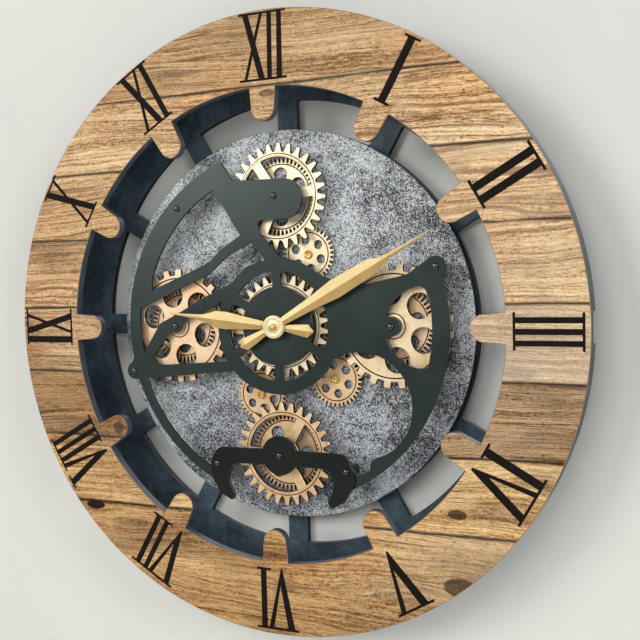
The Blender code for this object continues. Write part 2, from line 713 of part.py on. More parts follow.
def front_wheels():
    """The five wheels seen first, with coarse teeth or square block teeth."""
    bore = PIN_RADIUS + RUNNING
    hub = side_hub_radius()
    hubbed_wheel("top_wheel", "gold", coarse_edge(9.8), coarse_windows(5.0), bore, hub, PIVOT_TOP)
    hubbed_wheel("bottom_wheel", "bronze", coarse_edge(2.25), coarse_windows(60.0), bore, hub, PIVOT_BOTTOM)
    hubbed_wheel("centre_wheel", "gold", coarse_edge(6.9), coarse_windows(30.0), sleeve_radius() + RUNNING,
                 centre_hub_radius(), (0.0, 0.0), CENTRE_HUB_SIDES)
    for side, finish, place, phase, turn in (("left", "bronze", PIVOT_LEFT, 14.6, -17.0),
                                             ("right", "gold", PIVOT_RIGHT, 7.5, -24.0)):
        edge = flat_gear(BLOCK_TEETH, BLOCK_TIP, BLOCK_ROOT, BLOCK_TIP_SHARE, BLOCK_ROOT_SHARE, phase)
        openings = ring_of_holes(BLOCK_HOLES, BLOCK_HOLE_CIRCLE, BLOCK_HOLE_RADIUS, turn, 10)
        hubbed_wheel(side + "_wheel", finish, edge, openings, bore, hub, place)


def fine_train():
    """The fine-toothed wheels behind, set in mesh at rest from the centre outwards."""
    bore = circle(centre_hub_radius() + SEAT, CENTRE_HUB_SIDES)
    fine_wheel("centre_fine_wheel", "bronze", CENTRE_FINE_TEETH, CENTRE_FINE_PHASE, [bore],
               (0.0, 0.0))
    small = ring_of_holes(IDLER_HOLES, IDLER_HOLE_CIRCLE, IDLER_HOLE_RADIUS, 40.0, 8)
    pin_hole = circle(IDLER_PIN_RADIUS + RUNNING, 10)
    small.append(pin_hole)
    across, along = IDLER_PLACE
    for side, pivot, idler, turn in (("top", PIVOT_TOP, (across, along), 30.0),
                                     ("bottom", PIVOT_BOTTOM, (-across, -along), 0.0)):
        carrier(side + "_idler", "gold", IDLER_TEETH, small, idler, side + "_fine_wheel", "gold", turn, pivot)
        idler_pin(side + "_idler_pin", idler)
    along, across = LINK_PLACE
    for side, pivot, link, turn in (("left", PIVOT_LEFT, (-along, across), 30.0),
                                    ("right", PIVOT_RIGHT, (along, -across), 14.0)):
        carrier(side + "_link", "bronze", LINK_TEETH, [pin_hole], link, side + "_fine_wheel", "bronze", turn, pivot)
        link_pin(side + "_link_pin", link)
    idler = polar(fine_radius(CENTRE_FINE_TEETH) + fine_radius(IDLER_TEETH), RIGHT_IDLER_ANGLE)
    fine_wheel("right_idler", "gold", IDLER_TEETH, centre_mesh(IDLER_TEETH, idler), small, idler)
    idler_pin("right_idler_pin", idler)


def carrier(name, finish, teeth, openings, place, driven, driven_finish, turn, pivot):
    """Intermediate wheel, and the fine wheel that it turns."""
    phase = centre_mesh(teeth, place)
    fine_wheel(name, finish, teeth, phase, openings, place)
    phase = meshed_phase(teeth, phase, FINE_TEETH, direction(place, pivot))
    large = ring_of_holes(FINE_HOLES, FINE_HOLE_CIRCLE, FINE_HOLE_RADIUS, turn, 8)
    large.append(circle(side_hub_radius() + SEAT, HUB_SIDES))
    fine_wheel(driven, driven_finish, FINE_TEETH, phase, large, pivot)


def idler_pin(name, place):
    """Brass pin riveted in the disc, with a dished head in front of the small wheel."""
    low, high = DISC_FRONT + SEAT, REAR_HIGH + RUNNING
    top = high + IDLER_PIN_RISE
    profile = [(0.0, low), (IDLER_PIN_RADIUS, low), (IDLER_PIN_RADIUS, high), (IDLER_PIN_HEAD, high),
               (IDLER_PIN_HEAD, top - PIN_DISH), (IDLER_PIN_HEAD - 2.0 * PIN_DISH, top), (0.0, top - PIN_DISH)]
    turned(name, "brass", profile, 10, place)


def link_pin(name, place):
    """Plain pin that ends level with the face of its small wheel."""
    sheet(name, "brass", [circle(IDLER_PIN_RADIUS, 10)], DISC_FRONT + SEAT, REAR_HIGH, place)


def gear_motor():
    """Motor between the frame and the disc, with its pinion in mesh with the centre wheel."""
    place = MOTOR_PLACE
    openings = [circle(MOTOR_SHAFT + SEAT, 12)]
    fine_wheel("motor_pinion", "white_plastic", PINION_TEETH, centre_mesh(PINION_TEETH, place), openings, place)
    top = MOTOR_LOW + MOTOR_THICK
    profile = [(0.0, MOTOR_LOW), (MOTOR_RADIUS, MOTOR_LOW), (MOTOR_RADIUS, top - EDGE_CHAMFER),
               (MOTOR_RADIUS - EDGE_CHAMFER, top), (MOTOR_SHAFT, top), (MOTOR_SHAFT, REAR_HIGH), (0.0, REAR_HIGH)]
    turned("gear_motor", "black_steel", profile, 12, place)


def rectangle(low, high):
    """Outline from two opposite corners."""
    return [(high[0], low[1]), high, (low[0], high[1]), low]


def cell_bay(grow):
    """Outline of the movement's cell bay, along the lower edge of its case."""
    reach = CELL_LENGTH / 2.0 + CELL_SLACK + grow
    low = -MOVEMENT_WIDTH / 2.0 + MOVEMENT_WALL
    return rectangle((-reach, low - grow), (reach, low + 2.0 * (CELL_RADIUS + SEAT) + grow))


def movement():
    """Quartz movement behind the hands: case with a cell bay, sleeve, nut and cell."""
    half = MOVEMENT_WIDTH / 2.0
    square = rounded([(half, -half, 1.0), (half, half, 4.0), (-half, half, 4.0), (-half, -half, 1.0)])
    bay, block = cell_bay(0.0), cell_bay(BAY_WALL)
    low = FRAME_THICK + SEAT
    bay_floor = MOVEMENT_FRONT - MOVEMENT_WALL
    stem, bore = circle(STEM_RADIUS, 12), circle(STEM_BORE, 12)
    bore_floor = STEM_TOP - STEM_BORE_DEPTH
    body = Solid()
    body.cap([block, bay], MOVEMENT_BACK)
    body.wall(block, MOVEMENT_BACK, low)
    body.wall(bay, MOVEMENT_BACK, bay_floor)
    body.cap([bay], bay_floor)
    body.cap([square, block], low)
    body.wall(square, low, MOVEMENT_FRONT)
    body.cap([square, stem], MOVEMENT_FRONT)
    body.wall(stem, MOVEMENT_FRONT, STEM_TOP)
    body.wall(stem, STEM_TOP, STEM_TOP, bore)
    body.wall(bore, bore_floor, STEM_TOP)
    body.cap([bore], bore_floor)
    body.place("movement_case", "black_plastic")
    inner = STEM_RADIUS + SEAT
    low, high = MOVEMENT_FRONT + SEAT, PLATE_LOW - SEAT
    turned("movement_sleeve", "brass", [(inner, low), (inner + SLEEVE_WALL, low), (inner + SLEEVE_WALL, high),
                                        (inner, high)], 12, bored=True)
    across = NUT_ACROSS / 2.0 / math.cos(math.pi / 6.0)
    low = PLATE_HIGH + SEAT
    sheet("movement_nut", "brass", [circle(across, 6), circle(inner, 12)], low, low + NUT_THICK, smooth=False)
    middle = (bay[0][1] + bay[1][1]) / 2.0
    cell("movement_cell", (0.0, middle), bay_floor - SEAT - CELL_RADIUS)


def cell(name, place, height):
    """Round cell lying along X, with its contact nipple at +X."""
    end = CELL_LENGTH / 2.0
    made = turned(name, "cell", [(0.0, -end), (CELL_RADIUS, -end), (CELL_RADIUS, end - CELL_NIPPLE_RISE),
                                 (CELL_NIPPLE, end - CELL_NIPPLE_RISE), (CELL_NIPPLE, end), (0.0, end)], 12)
    made.rotation_euler = (0.0, 0.0, math.radians(90.0))
    made.location = (place[0] * MM, -height * MM, place[1] * MM)


def cell_box():
    """Box for the motor's cell, open to the wall, with a flange on the frame's front."""
    length, width = BOX_LENGTH / 2.0, BOX_WIDTH / 2.0
    low = BOX_BACK
    high = low + BOX_HEIGHT
    def box(grow):
        return rectangle((-length - grow, -width - grow), (length + grow, width + grow))
    flange_low = FRAME_THICK + SEAT
    flange_high = flange_low + BOX_FLANGE_THICK
    body = Solid()
    body.cap([box(0.0), box(-BOX_WALL)], low)
    body.wall(box(-BOX_WALL), low, high - BOX_WALL)
    body.cap([box(-BOX_WALL)], high - BOX_WALL)
    body.wall(box(0.0), low, flange_low)
    body.cap([box(BOX_FLANGE), box(0.0)], flange_low)
    body.wall(box(BOX_FLANGE), flange_low, flange_high)
    body.cap([box(BOX_FLANGE), box(0.0)], flange_high)
    body.wall(box(0.0), flange_high, high)
    body.cap([box(0.0)], high)
    body.place("cell_box", "black_plastic", (0.0, -BOX_DROP), smooth=False)
    cell("motor_cell", (0.0, -BOX_DROP), high - BOX_WALL - SEAT - CELL_RADIUS)


def hand(name, stations, low, angle, hub_low, shaft, shaft_bore, shaft_low):
    """Ridged hand lofted through (distance, half width) stations, with its hub and pipe."""
    turn = math.radians(90.0 - angle)
    along = (math.cos(turn), math.sin(turn))
    body = Solid()
    rows = []
    for distance, half in stations:
        rise = HAND_EDGE + (HAND_RIDGE - HAND_EDGE) * min(1.0, half / 3.0)
        row = []
        for side, height in ((half, low), (half, low + HAND_EDGE), (0.0, low + rise),
                             (-half, low + HAND_EDGE), (-half, low)):
            x = distance * along[0] - side * along[1]
            y = distance * along[1] + side * along[0]
            row.append(body.mesh.verts.new((x * MM, -height * MM, y * MM)))
        rows.append(row)
    for first, second in zip(rows, rows[1:]):
        for i in range(5):
            body.mesh.faces.new((first[i - 1], first[i], second[i], second[i - 1]))
    body.mesh.faces.new(rows[0])
    body.mesh.faces.new(rows[-1])
    blade = body.place(name, "hands", smooth=False)
    high = low + HAND_HUB_THICK
    if shaft_bore:
        hub = turned(name + "_hub_helper", "hands",
                     [(shaft_bore, shaft_low), (shaft, shaft_low), (shaft, hub_low), (HAND_HUB_RADIUS, hub_low),
                      (HAND_HUB_RADIUS, high), (shaft_bore, high)], 16, bored=True)
        bore = turned(name + "_bore_helper", "hands",
                      [(0.0, shaft_low - CUT_OVERRUN), (shaft_bore, shaft_low - CUT_OVERRUN),
                       (shaft_bore, high + HAND_RIDGE), (0.0, high + HAND_RIDGE)], 16)
        boolean(blade, hub, "UNION")
        boolean(blade, bore, "DIFFERENCE")
    else:
        top = high + HAND_NUT_THICK
        hub = turned(name + "_hub_helper", "hands",
                     [(0.0, shaft_low), (shaft, shaft_low), (shaft, hub_low), (HAND_HUB_RADIUS, hub_low),
                      (HAND_HUB_RADIUS, high), (shaft, high), (shaft, top), (0.0, top)], 16)
        boolean(blade, hub, "UNION")


def hands():
    """Hour hand on its pipe, minute hand on its shaft, and the nut that holds them."""
    pipe_low = STEM_TOP - STEM_BORE_DEPTH + PIPE_END_GAP
    hour_low = HOUR_HAND_HEIGHT
    minute_low = hour_low + HAND_HUB_THICK + HAND_STACK_GAP
    hand("hour_hand", HOUR_STATIONS, hour_low, HOUR_ANGLE, hour_low, HOUR_PIPE, MINUTE_SHAFT + RUNNING, pipe_low)
    hand("minute_hand", MINUTE_STATIONS, minute_low, MINUTE_ANGLE, minute_low, MINUTE_SHAFT, 0.0, pipe_low)
    seat = minute_low + HAND_HUB_THICK + SEAT
    top = seat + HAND_NUT_THICK
    bore = MINUTE_SHAFT + SEAT
    turned("hand_nut", "brass", [(bore, seat), (HAND_NUT_RADIUS, seat), (HAND_NUT_RADIUS, top - NUT_CHAMFER),
                                 (HAND_NUT_RADIUS - NUT_CHAMFER, top), (bore, top)], 12, bored=True)


def main():
    clear_scene()
    dial_ring()
    rim_band()
    back_frame()
    pillars()
    stone_disc()
    main_plate()
    bottom_bridge()
    plate_fasteners()
    pivot_screws()
    front_wheels()
    fine_train()
    gear_motor()
    movement()
    cell_box()
    hands()


main()
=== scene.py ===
"""Round wall clock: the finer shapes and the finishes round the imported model.

Sizes are in millimetres until a mesh is made, x to the right, y up, and every
height is measured from the wall towards the viewer.
"""
import cmath
from math import acos, asin, atan2, ceil, cos, degrees, dist, pi, radians, sin, sqrt, tan

import bmesh
import bpy
from mathutils import Matrix, Vector
from mathutils.geometry import delaunay_2d_cdt


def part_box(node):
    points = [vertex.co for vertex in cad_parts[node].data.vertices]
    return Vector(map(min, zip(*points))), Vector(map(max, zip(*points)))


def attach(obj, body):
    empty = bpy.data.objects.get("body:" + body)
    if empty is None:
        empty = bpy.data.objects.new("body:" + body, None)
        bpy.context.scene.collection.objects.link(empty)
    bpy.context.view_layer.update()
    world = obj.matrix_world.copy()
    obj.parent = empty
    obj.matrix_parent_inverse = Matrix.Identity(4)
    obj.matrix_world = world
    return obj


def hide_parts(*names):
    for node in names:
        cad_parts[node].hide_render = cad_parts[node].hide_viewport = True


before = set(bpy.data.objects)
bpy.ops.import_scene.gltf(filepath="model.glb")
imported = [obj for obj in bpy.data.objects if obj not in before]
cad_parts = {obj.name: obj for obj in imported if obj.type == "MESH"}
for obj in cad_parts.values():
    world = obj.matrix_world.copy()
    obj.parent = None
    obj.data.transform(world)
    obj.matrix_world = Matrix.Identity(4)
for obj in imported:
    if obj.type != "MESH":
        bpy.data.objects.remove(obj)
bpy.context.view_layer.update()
MM = 0.001  # a millimetre in metres
WIDTH = 600  # the clock's width in millimetres
HOURS = 12


# Shapes in the plane of the face

def polar(radius, angle, centre=(0, 0)):
    turn = radians(angle)
    return (centre[0] + radius * cos(turn), centre[1] + radius * sin(turn))


def spun(x, y, angle):
    """A point turned about the clock's middle."""
    turn = radians(angle)
    return (x * cos(turn) - y * sin(turn), x * sin(turn) + y * cos(turn))


def circle(radius, centre=(0, 0), count=0):
    count = count or max(24, 4 * int(radius * 0.3 + 6))
    return [polar(radius, 360 * i / count, centre) for i in range(count)]


def arc(radius, first, last, centre=(0, 0), step=3):
    """Points from one angle to the other, both ends included."""
    steps = max(2, ceil(abs(last - first) / step))
    return [polar(radius, first + (last - first) * i / steps, centre) for i in range(steps + 1)]


def hour_angle(hour):
    return 90 - 360 * hour / HOURS


def spread(half, radius):
    """Angle that half a width takes up at a radius."""
    return degrees(asin(half / radius))


def rounded(corners, step=14):
    """Closed outline from (x, y) points and (x, y, fillet radius) corners."""
    outline = []
    for i, corner in enumerate(corners):
        if len(corner) == 2:
            outline.append(corner)
            continue
        following = corners[(i + 1) % len(corners)]
        here, before, after = (complex(*c[:2]) for c in (corner, corners[i - 1], following))
        room = 0.45 * min(abs(before - here), abs(after - here))
        one, two = (before - here) / abs(before - here), (after - here) / abs(after - here)
        half = acos(max(-1, min(1, (one * two.conjugate()).real))) / 2
        reach = min(corner[2] / tan(half), room)
        size = reach * tan(half)
        centre = here + (one + two) / abs(one + two) * (size / sin(half))
        first, last = (cmath.phase(here + way * reach - centre) for way in (one, two))
        sweep = degrees((last - first + pi) % (2 * pi) - pi)
        steps = max(1, ceil(abs(sweep) / step))
        outline += [polar(size, degrees(first) + sweep * k / steps, (centre.real, centre.imag))
            for k in range(steps + 1)]
    return outline


def clean(outline):
    """The outline without points that lie on each other."""
    kept = []
    for point in outline:
        if not kept or dist(point, kept[-1]) > 0.03:
            kept.append(point)
    while dist(kept[0], kept[-1]) <= 0.03:
        kept.pop()
    return kept


def area_of(outline):
    return sum(a[0] * b[1] - b[0] * a[1] for a, b in zip(outline, outline[1:] + outline[:1]))


def inset(outline, amount, hole=False):
    """Outline moved into the material, with mitred corners."""
    side = amount if (area_of(outline) > 0) != hole else -amount
    points = [complex(*point) for point in outline]
    moved = []
    for i, point in enumerate(points):
        one, two = point - points[i - 1], points[(i + 1) % len(points)] - point
        one, two = one / abs(one), two / abs(two)
        moved.append(point + 1j * side * (one + two) / max(0.5, 1 + (one * two.conjugate()).real))
    return [(point.real, point.imag) for point in moved]


def put_in(name, data):
    made = bpy.data.objects.new(name, data)
    bpy.context.scene.collection.objects.link(made)
    return made


class Form:
    """Closed mesh made of flat caps and of walls between outlines."""

    def __init__(self):
        self.mesh = bmesh.new()

    def points(self, outline, height):
        return [self.mesh.verts.new((x * MM, -height * MM, y * MM)) for x, y in outline]

    def cap(self, outlines, height, slot=0):
        """Flat face inside the first outline, left open inside the others."""
        points, loops = [], []
        for outline in outlines:
            ring = outline if area_of(outline) > 0 else outline[::-1]
            loops.append(list(range(len(points), len(points) + len(ring))))
            points += [Vector(point) for point in ring]
        verts, _, cells, _, _, origin = delaunay_2d_cdt(points, [], loops, 1, 0.0001)
        corners = self.points([tuple(vert) for vert in verts], height)
        for cell, source in zip(cells, origin):
            if list(source) == [0]:
                self.mesh.faces.new([corners[i] for i in cell]).material_index = slot

    def strip(self, first, second):
        """Faces between two closed rows of points."""
        return [self.mesh.faces.new((first[i - 1], first[i], second[i], second[i - 1]))
            for i in range(len(first))]

    def wall(self, first, low, second, high, slot=1):
        for face in self.strip(self.points(first, low), self.points(second, high)):
            face.material_index = slot

    def rim(self, outline, low, high, bevel, hole=False):
        """Wall with a small bevel at both faces; gives the outline that the faces end at."""
        face = inset(outline, bevel, hole)
        self.wall(face, low, outline, low + bevel, 2)
        self.wall(outline, low + bevel, outline, high - bevel)
        self.wall(outline, high - bevel, face, high, 2)
        return face

    def turn(self, profile, centre, count, closed=False):
        """Turned surface through (radius, height) points."""
        steps = list(zip(profile, profile[1:]))
        if closed:
            steps.append((profile[-1], profile[0]))
        for (ra, ha), (rb, hb) in steps:
            if min(ra, rb) > 0:
                self.wall(circle(ra, centre, count), ha, circle(rb, centre, count), hb, 0)
                continue
            if ra == rb:
                continue
            edge = self.points(circle(max(ra, rb), centre, count), ha if ra else hb)
            top = self.mesh.verts.new((centre[0] * MM, -(hb if ra else ha) * MM, centre[1] * MM))
            for i in range(count):
                self.mesh.faces.new((edge[i - 1], edge[i], top))

    def done(self, name, materials, body, nodes=(), place=(0, 0), angle=32):
        bmesh.ops.remove_doubles(self.mesh, verts=self.mesh.verts, dist=0.000004)
        bmesh.ops.recalc_face_normals(self.mesh, faces=self.mesh.faces)
        data = bpy.data.meshes.new(name)
        self.mesh.transform(Matrix.Translation((place[0] * MM, 0, place[1] * MM)))
        self.mesh.to_mesh(data)
        self.mesh.free()
        data.shade_smooth()
        data.set_sharp_from_angle(angle=radians(angle))
        for material in materials:
            data.materials.append(material)
        piece = put_in(name, data)
        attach(piece, body)
        if nodes:
            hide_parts(*nodes)


def span(node):
    """Heights of a node's back and front above the wall."""
    low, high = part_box(node)
    return -high.y / MM, -low.y / MM


def middle(node):
    low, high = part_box(node)
    return ((low.x + high.x) / 2 / MM, (low.z + high.z) / 2 / MM)


def slab(node, end, materials, outlines, bevel, rear=0):
    """Flat piece that stands for a node: the first outline is its edge and the others are its holes."""
    low, high = span(node)
    form = Form()
    faces = [form.rim(clean(outline), low, high, bevel, i > 0) for i, outline in enumerate(outlines)]
    form.cap(faces, low, rear)
    form.cap(faces, high)
    form.done(node + end, materials, "case", [node])


def turned(node, end, foot, head, material, count=32, closed=False, body="case", centre=None):
    """Turned piece that stands for a node.

    Its points are (radius, height): the foot's are measured from the node's back, and the head's
    from its front.
    """
    low, high = span(node)
    form = Form()
    profile = [(radius, low + height) for radius, height in foot]
    profile += [(radius, high + height) for radius, height in head]
    form.turn(profile, centre or middle(node), count, closed)
    form.done(node + end, [material], body, [node])


def sector(turn, half_pitch, half_spoke, outer, inner):
    """Window between two spokes with parallel sides.

    The last two are an arc each: its radius, the corners' fillet, the degrees left out beside a
    corner, and the degrees from point to point.
    """
    corners = []
    for way, (radius, fillet, gap, step) in ((1, outer), (-1, inner)):
        half = half_pitch - spread(half_spoke, radius)
        corners.append((*polar(radius, turn - way * half), fillet))
        corners += arc(radius, turn - way * half + way * gap, turn + way * half - way * gap, step=step)
        corners.append((*polar(radius, turn + way * half), fillet))
    return rounded(corners)


# Materials

class Paint:
    """Principled material with helpers for its nodes."""

    def __init__(self, name, roughness=0.5, metallic=0, specular=0.5):
        self.material = bpy.data.materials.new(name)
        self.material.use_nodes = True
        self.tree = self.material.node_tree
        self.shader = self.tree.nodes["Principled BSDF"]
        self.set("Roughness", roughness)
        self.set("Metallic", metallic)
        self.set("Specular IOR Level", specular)
        self.place = self.node("ShaderNodeTexCoord", {}).outputs["Object"]

    def node(self, kind, sockets, **settings):
        made = self.tree.nodes.new(kind)
        for key, value in settings.items():
            setattr(made, key, value)
        for key, value in sockets.items():
            self.put(made.inputs[key], value)
        return made

    def put(self, socket, value):
        if isinstance(value, bpy.types.NodeSocket):
            self.tree.links.new(value, socket)
        else:
            socket.default_value = value

    def set(self, name, value):
        self.put(self.shader.inputs[name], value)

    def mapped(self, scale, shift=(0, 0, 0), vector=None):
        sockets = {"Vector": vector or self.place, "Scale": scale, "Location": shift}
        return self.node("ShaderNodeMapping", sockets).outputs["Vector"]

    def noise(self, scale, detail=4, rough=0.5, vector=None, distort=0, seed=None):
        sockets = {"Vector": vector or self.place, "Scale": scale, "Detail": detail, "Roughness": rough}
        sockets["Distortion"] = distort
        if seed is None:
            return self.node("ShaderNodeTexNoise", sockets).outputs["Fac"]
        sockets["W"] = seed
        return self.node("ShaderNodeTexNoise", sockets, noise_dimensions="4D").outputs["Fac"]

    def ramp(self, value, stops, kind="LINEAR", linear=False):
        """Colours by value: each stop is a place and either a share or a colour."""
        made = self.node("ShaderNodeValToRGB", {"Fac": value})
        made.color_ramp.interpolation = kind
        elements = made.color_ramp.elements
        while len(elements) < len(stops):
            elements.new(0.5)
        for element, (position, colour) in zip(elements, stops):
            element.position = position
            if not isinstance(colour, tuple):
                colour = (colour, colour, colour)
            elif not linear:
                colour = rgb(*colour)
            element.color = (*colour, 1)
        return made.outputs["Color"]

    def math(self, operation, first, second=0, clamp=False):
        return self.node("ShaderNodeMath", {0: first, 1: second}, operation=operation,
            use_clamp=clamp).outputs[0]

    def plus(self, first, second):
        return self.math("ADD", first, second)

    def minus(self, first, second):
        return self.math("SUBTRACT", first, second)

    def times(self, first, second, clamp=False):
        return self.math("MULTIPLY", first, second, clamp)

    def mix(self, share, first, second, blend="MIX"):
        first, second = [(*rgb(*c), 1) if isinstance(c, tuple) else c for c in (first, second)]
        # Of this node's sockets, inputs 6 and 7 and output 2 are the ones for colours
        sockets = {0: share, 6: first, 7: second}
        return self.node("ShaderNodeMix", sockets, data_type="RGBA", blend_type=blend).outputs[2]

    def tint(self, colour, shade):
        return self.mix(1, colour, shade, "MULTIPLY")

    def axis(self, name):
        return self.node("ShaderNodeSeparateXYZ", {0: self.place}).outputs[name]

    def bump(self, height, strength, distance):
        made = self.node("ShaderNodeBump", {"Strength": strength, "Distance": distance, "Height": height})
        self.set("Normal", made.outputs["Normal"])


def rgb(red, green, blue):
    """Linear colour from screen values of 0 to 255."""
    shares = [value / 255 for value in (red, green, blue)]
    return tuple(((v + 0.055) / 1.055) ** 2.4 if v > 0.04045 else v / 12.92 for v in shares)


def plain(name, colour, roughness, vary=0.12, grain=900, strength=0.15, specular=0.5):
    """Plain finish with a faint mottle and a fine surface grain."""
    paint = Paint(name, roughness, 0, specular)
    mottle = paint.noise(45, 4, 0.6)
    dark = tuple(c * (1 - vary) for c in rgb(*colour))
    light = tuple(min(1, c * (1 + vary)) for c in rgb(*colour))
    paint.set("Base Color", paint.ramp(mottle, [(0.3, dark), (0.7, light)], linear=True))
    paint.set("Roughness", paint.ramp(mottle, [(0.3, roughness * 0.9), (0.7, min(1, roughness * 1.1))]))
    paint.bump(paint.noise(grain, 3, 0.6), strength, 0.00008)
    return paint.material


# Planks from the lowest up: the heights of the seams between them from the clock's middle,
# then each plank's own number for its grain, its tint and how much painted sheen pales it towards the right
PLANK_EDGES = (-254, -185, -115, -47, 21, 91, 160, 230)
PLANK_TONES = (0.42, 0.62, 0.35, 0.55, 0.2, 0.5, 0.3, 0.48, 0.25)
PLANK_TINTS = ((226, 214, 190), (234, 224, 204), (255, 252, 236), (206, 202, 199), (247, 246, 252),
    (255, 252, 248), (252, 250, 246), (255, 254, 252), (234, 228, 220))
PLANK_SHEEN_SHARES = (0, 0.15, 0, 0, 0.34, 0.12, 0.1, 0, 0)
# Each knot: its place, half its width and height, and how dark it is
KNOTS = ((-213, -189, 11.5, 4.8, 1), (5, 222, 9, 3.2, 0.55), (-180, -105, 6, 7, 0.6),
    (183, -166, 9, 4.4, 0.8), (-168, -204, 26, 5, 0.4), (-128, -222, 34, 4, 0.35), (185, -232, 16, 9, 0.75),
    (170, -257, 20, 6, 0.45), (-5, -222, 22, 3, 0.6))


def wood():
    """Printed planks: seams, grain that runs round the knots, dark streaks and short pores."""
    paint = Paint("wood_planks", 0.6, 0, 0.15)
    x, z = paint.axis("X"), paint.axis("Z")
    level = paint.plus(paint.times(z, 1 / (WIDTH * MM)), 0.5)
    edges = [0] + [edge / WIDTH + 0.5 for edge in PLANK_EDGES]
    plank = paint.ramp(level, list(zip(edges, PLANK_TONES)), "CONSTANT")
    bend = dark = halo = 0
    for kx, kz, wide, tall, depth in KNOTS:
        across = paint.math("DIVIDE", paint.minus(x, kx * MM), wide * MM)
        along = paint.math("DIVIDE", paint.minus(z, kz * MM), tall * MM)
        square = paint.plus(paint.times(across, across), paint.times(along, along))
        near = paint.math("DIVIDE", 1, paint.plus(square, 1))
        bend = paint.plus(bend, paint.times(paint.times(along, near), -tall * 0.9 * MM))
        spot = paint.times(paint.minus(near, 0.47), 6 + 10 * depth * depth, clamp=True)
        dark = paint.math("MAXIMUM", dark, paint.times(spot, depth))
        halo = paint.math("MAXIMUM", halo, paint.times(near, depth * 0.7))
    seed = paint.times(plank, 40)
    wavy = paint.noise(4, 2, 0.5, paint.mapped((1, 1, 2.5)), seed=plank)
    sway = paint.times(paint.minus(wavy, 0.5), 0.05)
    bent = paint.plus(paint.plus(z, bend), sway)
    flow = paint.node("ShaderNodeCombineXYZ", {"X": x, "Z": bent}).outputs[0]

    def layer(along, across, detail, rough, distort=0):
        return paint.noise(1, detail, rough, paint.mapped((along, 1, across), vector=flow), distort, seed)

    streak = layer(4, 160, 3, 0.55, 0.3)
    fibre = layer(7, 460, 2, 0.6)
    dash = layer(90, 900, 2, 0.6)
    pore = layer(330, 760, 1, 0.5)
    broad = layer(5, 26, 4, 0.6, 0.6)
    value = 0.5
    for share, part in ((0.55, streak), (0.8, fibre), (0.8, dash), (0.5, pore), (0.45, broad)):
        value = paint.plus(value, paint.times(paint.minus(part, 0.5), share))
    colour = paint.ramp(value, [(0.16, (92, 64, 40)), (0.34, (158, 122, 84)), (0.46, (203, 168, 125)),
        (0.58, (228, 195, 152)), (0.8, (248, 225, 188))])
    grey = paint.noise(9, 3, 0.55, paint.mapped((1, 1, 2.4), vector=flow), seed=seed)
    colour = paint.mix(paint.ramp(grey, [(0.5, 0), (0.66, 0.85)]), colour, (190, 186, 192), "MULTIPLY")
    warm = paint.noise(6, 2, 0.5, paint.mapped((1, 1, 1.8), (0.3, 0, 0.7)), seed=seed)
    colour = paint.mix(paint.ramp(warm, [(0.52, 0), (0.7, 0.5)]), colour, (255, 214, 158), "MULTIPLY")
    colour = paint.mix(paint.ramp(pore, [(0.28, 0.8), (0.34, 0)]), colour, (92, 62, 40))
    rift = layer(3.5, 150, 1, 0.4, 0.2)
    shown = paint.ramp(layer(9, 50, 2, 0.5), [(0.42, 0.15), (0.6, 0.75)])
    lines = paint.ramp(rift, [(0.455, 0), (0.485, 1), (0.505, 1), (0.535, 0)])
    colour = paint.mix(paint.times(lines, shown), colour, (112, 78, 52))
    colour = paint.tint(colour, paint.ramp(level, list(zip(edges, PLANK_TINTS)), "CONSTANT"))
    # Painted sheen: some planks turn paler towards the right, each by its own share
    side = paint.plus(paint.times(x, 1 / (WIDTH * MM)), 0.5)
    sheen_share = paint.ramp(level, list(zip(edges, PLANK_SHEEN_SHARES)), "CONSTANT")
    sheen_share = paint.times(sheen_share, paint.ramp(side, [(0.5, 0), (0.8, 1)]))
    colour = paint.mix(sheen_share, colour, (222, 206, 180))
    # Painted shade: the whole ring is tinted darker and warmer towards the left
    colour = paint.tint(colour, paint.ramp(side, [(0, (242, 235, 226)), (0.55, (246, 243, 239)),
        (0.9, (255, 255, 255))]))
    rings = layer(40, 520, 2, 0.5, 1.5)
    colour = paint.mix(halo, colour, paint.mix(rings, (104, 70, 46), (176, 130, 86)))
    colour = paint.mix(dark, colour, paint.mix(rings, (12, 8, 8), (34, 22, 18)))
    wobble = paint.times(paint.minus(paint.noise(14, 3), 0.5), 0.006)
    seams = [(0, 0)]
    for edge in PLANK_EDGES:
        at = edge / WIDTH + 0.5
        seams += [(at - 0.0013, 0), (at - 0.0011, 1), (at + 0.0009, 1), (at + 0.0011, 0)]
    line = paint.plus(level, wobble)
    broken = paint.ramp(paint.noise(24, 3), [(0.3, 0.75), (0.4, 1)])
    # One ramp can't hold the stops of all the seams, so they are shared between two
    lower, upper = seams[:17], [(0, 0)] + seams[17:]
    seam = paint.math("MAXIMUM", paint.ramp(line, lower), paint.ramp(line, upper))
    colour = paint.mix(paint.times(seam, broken), colour, (16, 10, 8))
    paint.set("Base Color", colour)
    paint.set("Roughness", paint.ramp(value, [(0.3, 0.62), (0.7, 0.46)]))
    paint.bump(value, 0.3, 0.0002)
    return paint.material


def ring_edge():
    """Dark painted edge of the dial ring, with the pale edge of the printed sheet at its front. Its outer
    side is painted darker than its inner side: painted shade.
    """
    paint = Paint("ring_edge", 0.5)
    reach = paint.node("ShaderNodeVectorMath", {0: paint.place}, operation="LENGTH").outputs["Value"]
    outer = paint.math("GREATER_THAN", reach, 290 * MM)
    cloud = paint.noise(30, 4, 0.6)
    inside = paint.ramp(cloud, [(0.3, (52, 60, 72)), (0.7, (78, 88, 102))])
    # Painted shade: the outer side is painted darker than the inner one
    outside_painted_shade = paint.ramp(cloud, [(0.3, (20, 28, 31)), (0.7, (32, 42, 46))])
    front = paint.math("LESS_THAN", paint.axis("Y"), -59.3 * MM)
    paint.set("Base Color", paint.mix(front, paint.mix(outer, inside, outside_painted_shade), (150, 118, 84)))
    paint.bump(paint.noise(500, 3), 0.2, 0.0001)
    return paint.material


